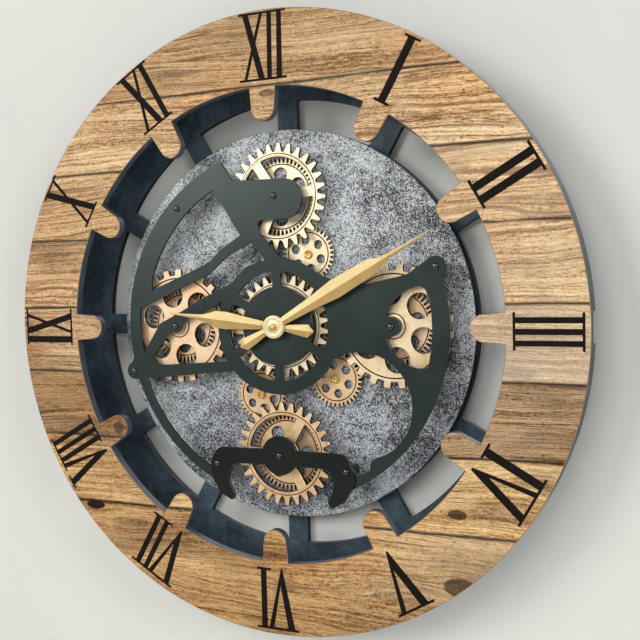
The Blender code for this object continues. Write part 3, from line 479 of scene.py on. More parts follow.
def cloudy(name, low, mid, high, roughness, specular=0.4):
    """Dark paint with soft clouds and a few scuffs."""
    paint = Paint(name, roughness, 0, specular)
    cloud = paint.noise(16, 6, 0.62, distort=0.4)
    fine = paint.noise(120, 4, 0.6)
    colour = paint.ramp(cloud, [(0.3, low), (0.5, mid), (0.7, high)])
    paint.set("Base Color", paint.mix(0.25, colour, paint.ramp(fine, [(0.35, low), (0.65, high)])))
    paint.set("Roughness", paint.ramp(cloud, [(0.3, roughness * 0.85), (0.7, min(1, roughness * 1.15))]))
    paint.set("Specular Tint", (0.86, 1, 0.97, 1))
    paint.bump(paint.noise(700, 3), 0.15, 0.0001)
    return paint.material


def stone():
    """Printed granite: pale and dark speckles in soft patches, with painted shade towards the bottom and
    the left edge.
    """
    paint = Paint("stone_speckle", 0.6, 0, 0.35)
    speck = paint.noise(720, 2, 0.6)
    grit = paint.noise(360, 3, 0.6)
    patch = paint.noise(70, 3, 0.6)
    cloud = paint.noise(14, 3, 0.55, distort=0.6)
    value = speck
    for part, level, share in ((grit, 0.5, 0.6), (patch, 0.5, 0.35), (cloud, 0.53, 0.55)):
        value = paint.plus(value, paint.times(paint.minus(part, level), share))
    colour = paint.ramp(value, [(0.28, (36, 38, 42)), (0.38, (86, 89, 93)), (0.45, (150, 153, 158)),
        (0.56, (194, 198, 203)), (0.7, (228, 231, 234))])
    # Painted shade: the print is darker towards the bottom and towards the left edge
    height = paint.plus(paint.times(paint.axis("Z"), 2.5), 0.5)
    colour = paint.tint(colour, paint.ramp(height, [(0.1, (228, 229, 231)), (0.6, (250, 250, 250)),
        (1, (255, 255, 255))]))
    side = paint.plus(paint.times(paint.axis("X"), 2.5), 0.5)
    paint.set("Base Color", paint.tint(colour, paint.ramp(side,
        [(0.02, (205, 209, 207)), (0.18, (255, 255, 255))])))
    paint.bump(paint.plus(speck, grit), 0.2, 0.0001)
    return paint.material


def aged(name, pale, warm, rust, amount, roughness=0.36, metallic=0.5):
    """Gold paint over metal, worn warm in patches, with rust-coloured specks and stains."""
    paint = Paint(name, roughness, metallic, 0.5)
    patch = paint.noise(38, 5, 0.6, distort=0.3)
    fine = paint.noise(260, 4, 0.65)
    stain = paint.noise(95, 6, 0.7, distort=0.8)
    speck = paint.noise(900, 2, 0.5)
    colour = paint.ramp(patch, [(0.36, warm), (0.56, pale)])
    colour = paint.mix(0.3, colour, paint.ramp(fine, [(0.35, warm), (0.6, pale)]))
    spots = paint.ramp(stain, [(0.62 - amount, 0), (0.76 - amount, 0.75)])
    dots = paint.ramp(speck, [(0.68, 0), (0.74, 0.8)])
    colour = paint.mix(paint.math("MAXIMUM", spots, dots), colour, rust)
    paint.set("Base Color", colour)
    paint.set("Roughness", paint.plus(paint.times(stain, 0.3), roughness - 0.1))
    paint.bump(paint.plus(fine, paint.times(speck, 0.4)), 0.22, 0.0001)
    return paint.material


FRAME_FACE = cloudy("frame_paint", (36, 44, 53), (54, 67, 79), (94, 115, 128), 0.6)
FRAME_EDGE = cloudy("frame_edge", (9, 11, 14), (15, 18, 22), (28, 33, 39), 0.7)
BEVEL_DARK = plain("worn_dark_bevel", (62, 72, 84), 0.5)
WOOD = wood()
RING_EDGE = ring_edge()
INK = plain("numeral_ink", (27, 22, 20), 0.6, vary=0.2, specular=0.05)
STONE = stone()
STONE_EDGE = plain("stone_edge", (28, 30, 34), 0.6)
PLATE_FACE = cloudy("plate_paint", (17, 25, 24), (21, 31, 29), (28, 39, 36), 0.33, 0.5)
# Painted shade: the bridge has the plate's cloudy paint in a darker tone
BRIDGE_SHADED_PAINT = cloudy("bridge_paint", (7, 9, 8), (10, 12, 10), (15, 18, 15), 0.34, 0.3)
PLATE_EDGE = plain("plate_edge", (7, 8, 8), 0.5)
# Painted highlight: the plate's bevels are a lighter tone than its face and edge
PLATE_BEVEL_HIGHLIGHT = plain("plate_bevel", (46, 58, 56), 0.35)
STEEL = plain("black_steel", (22, 22, 24), 0.14, grain=1500, strength=0.05, specular=1)
GOLD = aged("pale_gold", (250, 237, 206), (236, 212, 166), (140, 88, 50), 0)
COPPER = aged("copper_gold", (244, 214, 178), (228, 184, 138), (118, 70, 42), 0.03)
BRONZE = aged("bronze_gold", (238, 204, 160), (216, 172, 124), (112, 66, 38), 0.03)
SAND = aged("sand_gold", (246, 224, 186), (226, 194, 146), (124, 74, 42), 0.03)
GOLD_EDGE = aged("gold_bevel", (252, 242, 216), (240, 218, 176), (176, 122, 76), -0.04, 0.3)
COPPER_EDGE = aged("copper_bevel", (250, 226, 190), (234, 194, 148), (156, 100, 62), -0.04, 0.3)
# Dark brown of the wheels' sides and groove walls: the sides' own dark paint, and painted shade in the
# grooves
SIDE_PAINT_AND_GROOVE_SHADE = aged("dark_brown_side", (50, 30, 16), (30, 18, 10), (12, 8, 6), 0.06, 0.55, 0)
# Painted light and shade on the hands: one gold in a lighter tone for the facet that faces up and a darker
# one for the facet that faces down
HAND_LIT_FACET = aged("hand_pale_gold", (206, 182, 130), (198, 172, 118), (182, 150, 94), -0.1, 0.38, 0.3)
HAND_SHADED_FACET = aged("hand_deep_gold", (190, 158, 98), (178, 144, 84), (156, 120, 64), -0.1, 0.38, 0.3)
# Painted highlight: the hands' ridge in a paler gold
HAND_RIDGE_HIGHLIGHT = aged("hand_ridge", (236, 220, 174), (230, 210, 160), (212, 186, 132), -0.1, 0.3, 0.35)
HUB_GOLD = aged("hub_gold", (232, 217, 176), (226, 207, 162), (204, 178, 126), -0.1, 0.34)
BRASS = aged("brass", (226, 188, 116), (198, 150, 80), (120, 78, 36), -0.03, 0.28, 0.95)
PLASTIC = plain("black_plastic", (22, 22, 23), 0.45)
WHITE = plain("white_plastic", (226, 225, 220), 0.45, vary=0.04)


# Dial ring

RING_OUTER = WIDTH / 2
RING_INNER = 229
TAB_HALF = 13.9


def dial_ring():
    """Wooden ring with twelve rounded tabs that point inwards."""
    start, tip, straight = sqrt(RING_INNER ** 2 - TAB_HALF ** 2), 12.3, 209.3
    tab = [(start, -TAB_HALF)] + arc(tip, 270, 90, (straight, 0), 9) + [(start, TAB_HALF)]
    half = spread(TAB_HALF, RING_INNER)
    inner = []
    for turn in range(0, 360, 30):
        inner += [spun(x, y, turn) for x, y in tab]
        inner += arc(RING_INNER, turn + half, turn + 30 - half)[1:-1]
    outlines = [circle(RING_OUTER, count=240), inner]
    slab("dial_ring", "_planks", [WOOD, RING_EDGE, RING_EDGE], outlines, 0.5, 1)


def bar(left, right, low, high):
    return [(left, low), (right, low), (right, high), (left, high)]


def stroke(*sizes):
    """Outline of a stroke: a bar by its sides, a slanting one by its top and foot, or a V.

    A V's sizes are its five points read across its top, the two of its foot, and three heights.
    """
    if len(sizes) == 4:
        return bar(*sizes)
    if len(sizes) == 6:
        top_left, top_right, top, low_left, low_right, low = sizes
        return [(low_left, low), (low_right, low), (top_right, top), (top_left, top)]
    a, b, c, d, e, f, g, top, inner, low = sizes
    return [(g, low), (f, low), (e, top), (d, top), (c, inner), (b, top), (a, top)]


# Strokes of each numeral, as stroke() takes them: across it, and outwards from the clock's middle
NUMERALS = {
    1: [(-1.6, 5.9, 235, 296.5), (-5.6, 10.9, 295.4, 297.6), (-5.9, 10, 234.2, 236.7)],
    2: [(-7, 0.3, 235, 295), (5, 12.4, 235, 295), (-11.9, 17, 293.8, 296.4), (-12, 16.5, 234.2, 236.8)],
    3: [(-9.7, -4.5, 236, 294), (0.3, 5.4, 236, 294), (10.3, 15.2, 236, 294), (-13.6, 19.3, 292.8, 295.1),
        (-13.9, 18.8, 234.7, 236.9)],
    4: [(-15.5, -7.8, 235, 291), (-19.7, -4.6, 233.8, 236.2), (-19.1, 29.4, 290, 292.5),
        (-5.1, 0, 7, 18.5, 26.2, 9.8, 7.4, 291, 249.2, 232.1)],
    5: [(-15.8, 23.5, 291.8, 294.2), (-10.3, -2, 5.6, 14.3, 19.7, 4, 2.3, 293, 253.9, 236)],
    6: [(-23.8, 21.1, 293.3, 295.7), (-20.1, -12.6, -5.1, 3, 8.4, -5.9, -7.5, 294.5, 251.1, 234.7),
        (10, 16.2, 236, 294.5), (4.5, 20.1, 235, 237.3)],
    7: [(-28.8, 25.8, 291.8, 294.2), (-24.9, -18.2, -10, -2.2, 2.8, -11.4, -13.2, 293, 250.3, 233.5),
        (4.2, 9.7, 235, 293), (14.6, 20.6, 235, 293), (-0.7, 25.1, 233.7, 235.9)],
    8: [(-30.7, -15.5, 293.1, 295.2), (-9.7, 28.7, 293.1, 295.2),
        (-27.4, -20.3, -12.2, -6.5, -1, -13, -15.1, 294, 252.1, 234), (0, 5.5, 294, -0.6, 5, 236),
        (10.1, 15.2, 294, 9.1, 14.6, 236), (20, 25.2, 294, 19, 24.6, 236), (-3.5, 28.7, 234.8, 237)],
    9: [(-19, 19.7, 294.2, 296.5), (-19.4, 19.4, 235.2, 237.4), (-16.5, -9.7, 236, 295),
        (-7.5, -0.6, 295, 8.1, 14.9, 236.5), (11.4, 14.6, 295, -6.7, -3.6, 236.5)],
    10: [(-15.1, 15.2, 295.5, 297.8), (-15.2, 14.8, 235, 237.2), (-11.7, -4.9, 296.5, 5.1, 11.9, 236),
        (6.7, 10, 296.5, -11.4, -8.2, 236)],
    11: [(-19.6, 20.3, 296.3, 298.6), (-19.8, 19.8, 234.8, 237), (-15.6, -9.1, 297.5, 0.6, 7.5, 236),
        (2.8, 6.2, 297.5, -15.3, -11.6, 236), (10, 16.1, 236, 297.5)],
    12: [(-23, 26.9, 296.1, 298.4), (-23.2, 26.8, 234.1, 236.3), (-19.1, -12.9, 297.2, -2.6, 4.1, 235.2),
        (-0.6, 2.8, 297.2, -18.4, -15.2, 235.2), (7.1, 12, 297.2, 6.2, 11.2, 235.2),
        (17.4, 22.3, 297.2, 16.2, 21.9, 235.2)],
}


def numerals():
    """Roman numerals as thin inlays that stand a hair proud of the wood."""
    front = span("dial_ring")[1]
    for hour, strokes in NUMERALS.items():
        points, faces = [], []
        for outline in (stroke(*sizes) for sizes in strokes):
            faces.append(list(range(len(points), len(points) + len(outline))))
            for u, v in outline:
                v = min(v, sqrt((RING_OUTER - 0.8) ** 2 - u ** 2))
                points.append(Vector(spun(v, -u, hour_angle(hour))))
        verts, _, cells, _, _, origin = delaunay_2d_cdt(points, [], faces, 1, 0.0001)
        form = Form()
        low, high = (form.points([tuple(v) for v in verts], front + rise) for rise in (-0.05, 0.12))
        sides = {}
        for cell, source in zip(cells, origin):
            if not source:
                continue
            form.mesh.faces.new([low[i] for i in cell])
            form.mesh.faces.new([high[i] for i in cell])
            for a, b in zip(cell, cell[1:] + cell[:1]):
                key = (min(a, b), max(a, b))
                sides[key] = sides.get(key, 0) + 1
        for (a, b), count in sides.items():
            if count == 1:
                form.mesh.faces.new((low[a], low[b], high[b], high[a]))
        loose = [v for v in form.mesh.verts if not v.link_faces]
        bmesh.ops.delete(form.mesh, geom=loose, context="VERTS")
        form.done("numeral_%d" % hour, [INK], "case")


def rim_band():
    """Edge band behind the dial ring, with a notch open to the wall at each quarter."""
    low, high = span("rim_band")
    outer, inner = 299.7, 295.7
    notch = 13
    half = spread(14, outer)
    angles = []
    for quarter in (0, 90, 180, 270):
        angles.append(quarter - half)
        angles += [quarter + half + (90 - 2 * half) * i / 56 for i in range(56)]
    form = Form()

    def quad(corners, slot=1):
        verts = [form.points([polar(radius, angle)], height)[0] for radius, angle, height in corners]
        form.mesh.faces.new(verts).material_index = slot

    for first, last in zip(angles, angles[1:] + [360 - half]):
        open_notch = abs(last - first - 2 * half) < 0.01
        bottom = low + notch if open_notch else low
        bands = [(low + notch, high)] if open_notch else [(low, low + notch), (low + notch, high)]
        for start, end in bands:
            for radius, slot in ((outer, 0), (inner, 1)):
                quad([(radius, first, start), (radius, last, start), (radius, last, end),
                    (radius, first, end)], slot)
        for height in (bottom, high):
            quad([(outer, first, height), (outer, last, height), (inner, last, height),
                (inner, first, height)])
        for angle in (first, last) if open_notch else ():
            quad([(outer, angle, low), (inner, angle, low), (inner, angle, bottom), (outer, angle, bottom)])
    form.done("rim_band_painted", [FRAME_FACE, FRAME_EDGE], "case", ["rim_band"])


# Back frame and disc

DISC_EDGE = 192.9


def post(node, radius):
    """Round post with a small bevel and a moulding line round its middle."""
    low, high = span(node)
    half, line = (high - low) / 2, radius - 0.3
    foot = [(0, 0), (radius - 0.4, 0), (radius, 0.4), (radius, half - 0.4), (line, half - 0.2),
        (line, half + 0.2), (radius, half + 0.4)]
    turned(node, "_turned", foot, [(radius, -0.4), (radius - 0.4, 0), (0, 0)], PLASTIC)


def back_frame():
    outlines = [circle(290, count=240)]
    for hour in range(HOURS):
        outlines.append(sector(hour_angle(hour + 0.5), 15, 10.75, (223.5, 1.5, 1.5, 1.5),
            (DISC_EDGE, 3, 2.5, 1.5)))
    for bay in ((-27.7, 27.7, -28.7, -9.5), (-30.3, 30.3, -104.3, -83.7)):
        outlines.append(rounded([(*corner, 1) for corner in bar(*bay)]))
    head, neck = 6, 3
    corner = spread(neck, head)
    outlines.append(arc(head, 90 + corner, 450 - corner, (0, 257), 10) + arc(neck, 0, 180, (0, 271), 15))
    slab("back_frame", "_painted", [FRAME_FACE, FRAME_EDGE, BEVEL_DARK], outlines, 0.4)
    for hour in (2, 4, 6, 8, 10, 12):
        post("rim_post_%d" % hour, 6)
    for hour in (4, 8, 12):
        post("disc_standoff_%d" % hour, 5)


def stone_disc():
    outlines = [circle(DISC_EDGE, count=200), circle(6.3), circle(2.9, middle("motor_pinion"))]
    slab("stone_disc", "_printed", [STONE, STONE_EDGE, STONE_EDGE], outlines, 0.35, 1)


# Front plates

POSTS = {
    "upper_left": (-111, 120),
    "lobe_left": (-170, -47),
    "lobe_right": (161.5, 55),
    "foot_left": (-70.5, -138.5),
    "foot_right": (70.5, -138.5),
}
PLATE_RADIUS = 173.5
PIVOTS = {"top": (0, 127), "bottom": (0, -127), "left": (-117.5, 0), "right": (117.5, 0)}


def plate_edge():
    """Outer edge of the main plate, clockwise from its upper left horn."""
    x, y = POSTS["foot_right"]
    corners = [(*polar(PLATE_RADIUS, 109.6), 1), (-45.6, 144.2, 3)]
    corners += arc(19.6, 90, -90, (10.4, 123.6), 6)
    corners += [(-20, 104, 8), (-17.5, 92, 6), (3, 69.4, 4)]
    corners += arc(67, 82, 52)
    corners += [(57, 44.5, 8), (96, 40, 20), (134, 48, 14)]
    corners += arc(9.5, 128, -20, POSTS["lobe_right"], 9)
    corners += [(168.6, 45, 2)]
    corners += arc(PLATE_RADIUS, 13, -65)
    corners += [(*polar(PLATE_RADIUS, -66.5), 2), (x - 8, y - 6, 3), (x - 8, y + 8, 7), (x + 4.5, y + 8, 4),
        (80.5, -142.6)]
    corners += [(93.5, -136.4), (95.2, -126.5, 4)]
    corners += arc(51, -74, 124, (86, -75), 4)
    corners += [(52, -43, 3)]
    corners += arc(67, -45, -132)
    corners += [(-49, -45, 3), (-154.6, -54.9, 1)]
    corners += arc(164.2, 202, 239)
    corners += [(-80.5, -142.6), (-x - 4.5, y + 8, 4), (-x + 8, y + 8, 7), (-x + 8, y - 6, 3),
        (*polar(PLATE_RADIUS, 246.5), 2)]
    corners += arc(PLATE_RADIUS, 245, 200)
    corners += arc(9, -66, -250, POSTS["lobe_left"], 9)
    corners += arc(PLATE_RADIUS, 191, 111)
    return rounded(corners)


def plate_openings():
    """The shaped openings of the main plate."""
    upper = [(*polar(152.3, 116.4), 1.5)] + arc(152.3, 120, 160) + [(*polar(150.2, 165.8), 1.5)]
    upper += [(-75, 64.2, 12), (-60, 77.4, 14), (-38.6, 90.3, 0.8)]
    crescent = [(-159.6, 18.7, 1.5), (-75, 52.8, 12), (-54, 70, 20), (-26.2, 83.2, 0.8), (-11.2, 65, 0.8),
        (-33, 59.2, 16), (-50, 43, 14), (-88, 26.6, 20), (-114, 12.8, 16), (-136, 3, 8),
        (-157.6, -28.2, 0.8)]
    crescent += arc(160.8, 187, 176)
    lower = [(-61.4, 25.4, 0.8)] + arc(66.5, 165, 206) + [(-57.4, -35.4, 0.8)]
    lower += [(-139, -40.6, 8), (-147.4, -33, 4), (-127.5, -9.8, 20), (-122, -5.6, 2)]
    lower += arc(6.9, 260, 360, PIVOTS["left"], 9)[1:]
    lower += [(-107, 5, 3), (-94, 11.8, 6), (-86, 12, 6)]
    centre = (150, -1)
    right = arc(38.2, 165, 97, centre, 4) + [(151, 35.2, 4)] + arc(157.3, 9, -12)
    right += [(152.8, -38, 4)] + arc(38.2, 258, 195, centre, 4)
    right += arc(9.2, -66, 66, PIVOTS["right"], 9)
    return [rounded(corners) for corners in (upper, crescent, lower, right)]


def main_plate():
    outlines = [plate_edge()] + plate_openings()
    outlines += [sector(60 * i, 30, 4.25, (54, 4, 8, 3), (38.5, 0.6, 4, 3)) for i in range(6)]
    outlines.append(circle(4.3))
    outlines += [circle(2.1, place) for place in POSTS.values()]
    outlines += [circle(2.8, PIVOTS[side]) for side in ("top", "left", "right")]
    slab("main_plate", "_painted", [PLATE_FACE, PLATE_EDGE, PLATE_BEVEL_HIGHLIGHT], outlines, 0.3)


def bottom_bridge():
    half = [(54.5, -175.8, 3.5), (68, -168.5, 6), (76, -156, 5), (78.6, -148, 10), (78.2, -136, 12),
        (70, -121.6, 14)]
    inside = [(50.4, -170.5, 3), (58.4, -153, 12), (53, -137.2, 9)]
    boss = 19.5
    upper, lower = spread(5.8, boss), spread(10, boss)
    corners = half + arc(boss, upper, 180 - upper, PIVOTS["bottom"], 6)
    corners += [(-c[0], *c[1:]) for c in half[::-1] + inside]
    corners += arc(boss, 180 + lower, 360 - lower, PIVOTS["bottom"], 6) + inside[::-1]
    outlines = [rounded(corners, 8), circle(2.8, PIVOTS["bottom"])]
    outlines += [circle(2.1, POSTS["foot_left"]), circle(2.1, POSTS["foot_right"])]
    slab("bottom_bridge", "_painted", [BRIDGE_SHADED_PAINT, PLATE_EDGE, PLATE_BEVEL_HIGHLIGHT], outlines, 0.3)


def screw(node, shank, centre):
    """Screw with a domed head."""
    foot = [(0, 0), (shank - 0.4, 0), (shank, 0.4)]
    head = [(shank, -2.2), (3.2, -2.2), (3.2, -1.7), (3, -1.2), (2.5, -0.65), (1.7, -0.25), (0.8, -0.05),
        (0, 0)]
    turned(node, "_domed", foot, head, STEEL, centre=centre)


def fasteners():
    """The plate's screws with their spacer posts, and the wheels' shoulder screws."""
    for name in POSTS:
        centre = middle("plate_screw_" + name)
        screw("plate_screw_" + name, 1.8, centre)
        deep = span("plate_screw_" + name)[0] - 0.3 - span("plate_post_" + name)[1]
        turned("plate_post_" + name, "_turned", [(0, 0), (3.7, 0), (4, 0.3)],
            [(4, -0.3), (3.7, 0), (2.1, 0), (2.1, deep), (0, deep)], STEEL, centre=centre)
    for side, centre in PIVOTS.items():
        screw("pivot_screw_" + side, 2.5, centre)


# Wheels

WHEEL_DEPTH = 4.5
CENTRE_TEETH, CENTRE_PHASE, IDLER_TEETH = 65, 1.3, 35


def toothed(teeth, tip, root, tip_share, root_share, phase, tip_round, root_round):
    """Gear outline; the shares are a tooth's half widths as parts of a pitch."""
    pitch = 360 / teeth
    corners = []
    for i in range(teeth):
        at = phase + pitch * i
        for radius, share, fillet in ((root, -root_share, root_round), (tip, -tip_share, tip_round),
                (tip, tip_share, tip_round), (root, root_share, root_round)):
            corners.append((*polar(radius, at + pitch * share), fillet))
    return rounded(corners, 40)


def wheel(node, body, materials, edge, holes, bore, centre, features=(), hub=None, bevel=0.3,
        end="_aged"):
    """Wheel that stands for a node, with turned grooves and beads on its front.

    A hole is an outline and the radius it sits at, and a feature a run of (radius, rise) points.
    """
    back, high = span(node)
    low = high - WHEEL_DEPTH if hub else back
    form = Form()
    outer = form.rim(clean(edge), low, high, bevel)
    inner = [(form.rim(hole, low, high, bevel, True), radius) for hole, radius in holes]
    bored = circle(bore)
    mouth = inset(bored, bevel, True)
    form.wall(bored, high - bevel, mouth, high, 2)
    form.wall(bored, back + bevel, bored, high - bevel)
    form.wall(bored, back + bevel, mouth, back, 2)
    limits = [run[0][0] for run in features] + [0]
    outlines = [outer]
    ceiling = 1000
    for run, limit in zip(list(features) + [None], limits):
        outlines += [hole for hole, radius in inner if limit < radius < ceiling]
        outlines.append(circle(limit, count=96) if run else mouth)
        form.cap(outlines, high)
        if not run:
            break
        for (ra, ha), (rb, hb) in zip(run, run[1:]):
            # Walls that go down into a groove take the dark brown side paint, painted shade in the groove
            deep = 1 if min(ha, hb) < -0.05 else 0
            form.wall(circle(ra, count=96), high + ha, circle(rb, count=96), high + hb, deep)
        outlines = [circle(run[-1][0], count=96)]
        ceiling = limit
    rear = [outer] + [hole for hole, _ in inner]
    if hub:
        collar = circle(hub, count=48)
        foot = inset(collar, bevel)
        form.cap(rear + [collar], low)
        form.wall(collar, back + bevel, collar, low)
        form.wall(foot, back, collar, back + bevel, 2)
        form.cap([foot, mouth], back)
    else:
        form.cap(rear + [mouth], low)
    form.done(node + end, materials, body, [node], centre)


def coarse_windows(turn):
    """Three openings between the spokes of a coarse wheel."""
    return [(sector(turn + 60 + 120 * i, 60, 5, (38.5, 1.5, 4, 3), (16, 0.8, 6, 6)), 27) for i in range(3)]


def six_holes(ring, radius, turn):
    return [(circle(radius, polar(ring, turn + 60 * i), 40), ring) for i in range(6)]


GOLD_SET = [GOLD, SIDE_PAINT_AND_GROOVE_SHADE, GOLD_EDGE]
COPPER_SET = [COPPER, SIDE_PAINT_AND_GROOVE_SHADE, COPPER_EDGE]
BRONZE_SET = [BRONZE, SIDE_PAINT_AND_GROOVE_SHADE, COPPER_EDGE]
SAND_SET = [SAND, SIDE_PAINT_AND_GROOVE_SHADE, COPPER_EDGE]
BEAD = [(42, 0), (41.8, -0.6), (41.3, -0.6), (41.1, 0.3), (40.7, 0.6), (39.8, 0.6), (39.4, 0.3), (39.2, 0)]
COLLAR = [(12.4, 0), (12.2, -0.4), (11.6, -0.4), (11.3, 0.5), (10.4, 0.9), (9.2, 0.9), (8.6, 0.4), (8.2, 0)]


def front_wheels():
    coarse = (("top", 9.8, 5, GOLD_SET, "gold"), ("bottom", 2.25, 60, BRONZE_SET, "bronze"),
        ("centre", 6.9, 30, GOLD_SET, "gold"))
    for side, phase, turn, materials, slot in coarse:
        bore, features, hub = (6.4, [BEAD], 9.4) if side == "centre" else (2.9, [BEAD, COLLAR], 6.9)
        edge = toothed(28, 51.6, 43.2, 0.12, 0.35, phase, 0.9, 1.2)
        wheel(side + "_wheel", side + "_gear", materials, edge, coarse_windows(turn), bore,
            PIVOTS.get(side, (0, 0)), features, hub)
    groove = [(49.7, 0), (49.4, -0.6), (48.7, -0.6), (48.3, 0)]
    block = (("left", 14.6, -17, COPPER_SET, "bronze"), ("right", 7.5, -24, SAND_SET, "gold"))
    for side, phase, turn, materials, slot in block:
        edge = toothed(24, 58.4, 52.2, 0.2, 0.25, phase, 0.6, 1)
        wheel(side + "_wheel", side + "_gear", materials, edge, six_holes(32, 12.3, turn), 2.9,
            PIVOTS[side], [groove, COLLAR], 6.9)


def fine_outline(teeth, phase, root_depth):
    radius = 0.75 * teeth
    return toothed(teeth, radius + 1.275, radius - root_depth, 0.13, 0.27, phase, 0.25, 0.4)


def meshed_phase(driver_teeth, driver_phase, teeth, direction):
    """Tooth angle of a wheel that meshes with a driver, seen from it at a direction."""
    along = driver_teeth * (direction - driver_phase) / 360
    return direction + 180 - (0.5 - along) * 360 / teeth


def direction(first, second):
    return degrees(atan2(second[1] - first[1], second[0] - first[0]))


def small_wheel(node, teeth, materials):
    """Wheel in mesh with the centre's fine wheel; gives its place and tooth angle."""
    centre = middle(node + "_pin")
    phase = meshed_phase(CENTRE_TEETH, CENTRE_PHASE, teeth, direction((0, 0), centre))
    holes, lines = [], []
    if teeth == IDLER_TEETH:
        holes = six_holes(14.2, 4.4, 40)
        lines = [[(21.9, 0), (21.6, -0.4), (21, -0.4), (20.7, 0)]]
    wheel(node, node, materials, fine_outline(teeth, phase, 2.6), holes, 2.6, centre, lines, bevel=0.15)
    return centre, phase


def fine_train():
    """The fine-toothed wheels behind, in mesh at rest from the centre outwards."""
    wheel("centre_fine_wheel", "centre_gear", COPPER_SET, fine_outline(CENTRE_TEETH, CENTRE_PHASE, 3.6), [],
        9.7, (0, 0), [[(43, 0), (42.7, -0.4), (42.1, -0.4), (41.8, 0)]], bevel=0.15)
    line = [(32.4, 0), (32.1, -0.45), (31.4, -0.45), (31.1, 0)]
    carriers = (("top", "_idler", IDLER_TEETH, 30, GOLD_SET, "gold"),
        ("bottom", "_idler", IDLER_TEETH, 0, BRONZE_SET, "gold"),
        ("left", "_link", 21, 30, COPPER_SET, "bronze"), ("right", "_link", 21, 14, COPPER_SET, "bronze"))
    for side, kind, teeth, turn, materials, slot in carriers:
        centre, phase = small_wheel(side + kind, teeth, materials)
        phase = meshed_phase(teeth, phase, 50, direction(centre, PIVOTS[side]))
        wheel(side + "_fine_wheel", side + "_gear", materials, fine_outline(50, phase, 4.4),
            six_holes(21.5, 7.3, turn), 7.2, PIVOTS[side], [line], bevel=0.15)
    small_wheel("right_idler", IDLER_TEETH, BRONZE_SET)
    centre = middle("motor_pinion")
    phase = meshed_phase(CENTRE_TEETH, CENTRE_PHASE, 12, direction((0, 0), centre))
    edge = toothed(12, 10.275, 7.125, 0.1, 0.3, phase, 0.2, 0.3)
    wheel("motor_pinion", "motor_pinion", [WHITE] * 3, edge, [], 2.8, centre, bevel=0.12,
        end="_moulded")


def brass_parts():
    """Rivets of the small wheels, the movement's sleeve and nut, and the hands' nut."""
    foot = [(0, 0), (1.9, 0), (2.2, 0.3)]
    rivet = [(2.2, -1.5), (4.1, -1.5), (4.3, -1.3), (4.3, -0.5), (4, -0.1), (3.4, 0), (2.9, -0.1),
        (2.4, -0.6), (1.6, -0.75), (1.3, -0.5), (0.7, -0.3), (0, -0.25)]
    for side in ("top", "bottom", "right"):
        turned(side + "_idler_pin", "_riveted", foot, rivet, BRASS, 40)
    for side in ("left", "right"):
        head = [(2.2, -0.3), (1.9, 0), (1.2, 0), (0.9, -0.3), (0, -0.3)]
        turned(side + "_link_pin", "_turned", foot, head, BRASS)
    turned("movement_sleeve", "_turned", [(4.3, 0.3), (4.6, 0), (5.7, 0), (6, 0.3)],
        [(6, -0.3), (5.7, 0), (4.6, 0), (4.3, -0.3)], BRASS, 48, True, centre=(0, 0))
    across = 7 / cos(pi / 6)
    slab("movement_nut", "_milled", [BRASS] * 3, [circle(across, count=6), circle(4.3, count=36)], 0.3)
    turned("hand_nut", "_turned", [(1.8, 0.2), (2, 0), (3.4, 0), (3.6, 0.2)],
        [(3.6, -0.9), (3.4, -0.5), (3, -0.2), (2.4, 0), (2, 0), (1.8, -0.2)], BRASS, 40, True,
        "minute_hand", (0, 0))


# Hands

HOUR_LINE = ((-42, 0.4), (-36, 6.4), (-23, 4.8), (-11, 3), (11, 4), (33, 6.3), (55, 8.8), (67, 8.2),
    (72, 6.2), (77, 4.5), (82, 3.2), (92, 2.3), (103, 1.5), (121.5, 0.5))
MINUTE_LINE = ((-42, 0.4), (-36.2, 6.2), (-23, 4.9), (-11, 3.5), (11, 3.9), (48, 6.3), (75, 9.3), (96, 8.7),
    (117, 7.8), (121, 6), (125.5, 4.1), (133, 3), (142, 2.4), (160, 1.5), (182, 0.5))


def hand(node, line, angle, bore, shaft, hub_low):
    """Ridged hand with a folded blade, a turned hub and its pipe; its facets and ridge carry painted light,
    shade and highlight.
    """
    low, high = span(node)
    form = Form()
    rows = []
    for distance, half in line:
        rise = 0.7 + min(1, half / 3)
        slope = [(half - 0.05, 0), (half, 0.15), (half, 0.55), (half - 0.12, 0.7), (0.12, rise)]
        row = []
        for side, height in slope + [(-side, height) for side, height in reversed(slope)]:
            row += form.points([spun(distance, side, 90 - angle)], hub_low + height)
        rows.append(row)
    for first, second in zip(rows, rows[1:]):
        for i, face in enumerate(form.strip(first, second)):
            face.material_index = 1 if i == 5 else 2 if i > 5 else 0
    form.mesh.faces.new(rows[0])
    form.mesh.faces.new(rows[-1])
    # The facet that faces up gets the painted light gold and the one that faces down the painted shade gold
    sides = [HAND_SHADED_FACET, HAND_RIDGE_HIGHLIGHT, HAND_LIT_FACET] if angle > 180 else [HAND_LIT_FACET, HAND_RIDGE_HIGHLIGHT, HAND_SHADED_FACET]
    form.done(node + "_blade", sides, node, [node], angle=5)
    top = hub_low + 1.8
    form = Form()
    profile = [(shaft, low), (shaft, hub_low), (10.8, hub_low), (11.2, hub_low + 0.4), (11.2, top - 0.5),
        (10.8, top - 0.1), (10, top), (7.2, top), (6.9, top - 0.12), (6.6, top)]
    if bore:
        profile = [(bore, low)] + profile + [(bore + 0.3, top), (bore, top - 0.3)]
    else:
        profile = [(0, low)] + profile + [(shaft, top), (shaft, high - 0.3), (shaft - 0.3, high), (0, high)]
    form.turn(profile, (0, 0), 64, bore > 0)
    form.done(node + "_hub", [HUB_GOLD], node, angle=40)


# Pieces that keep their solids

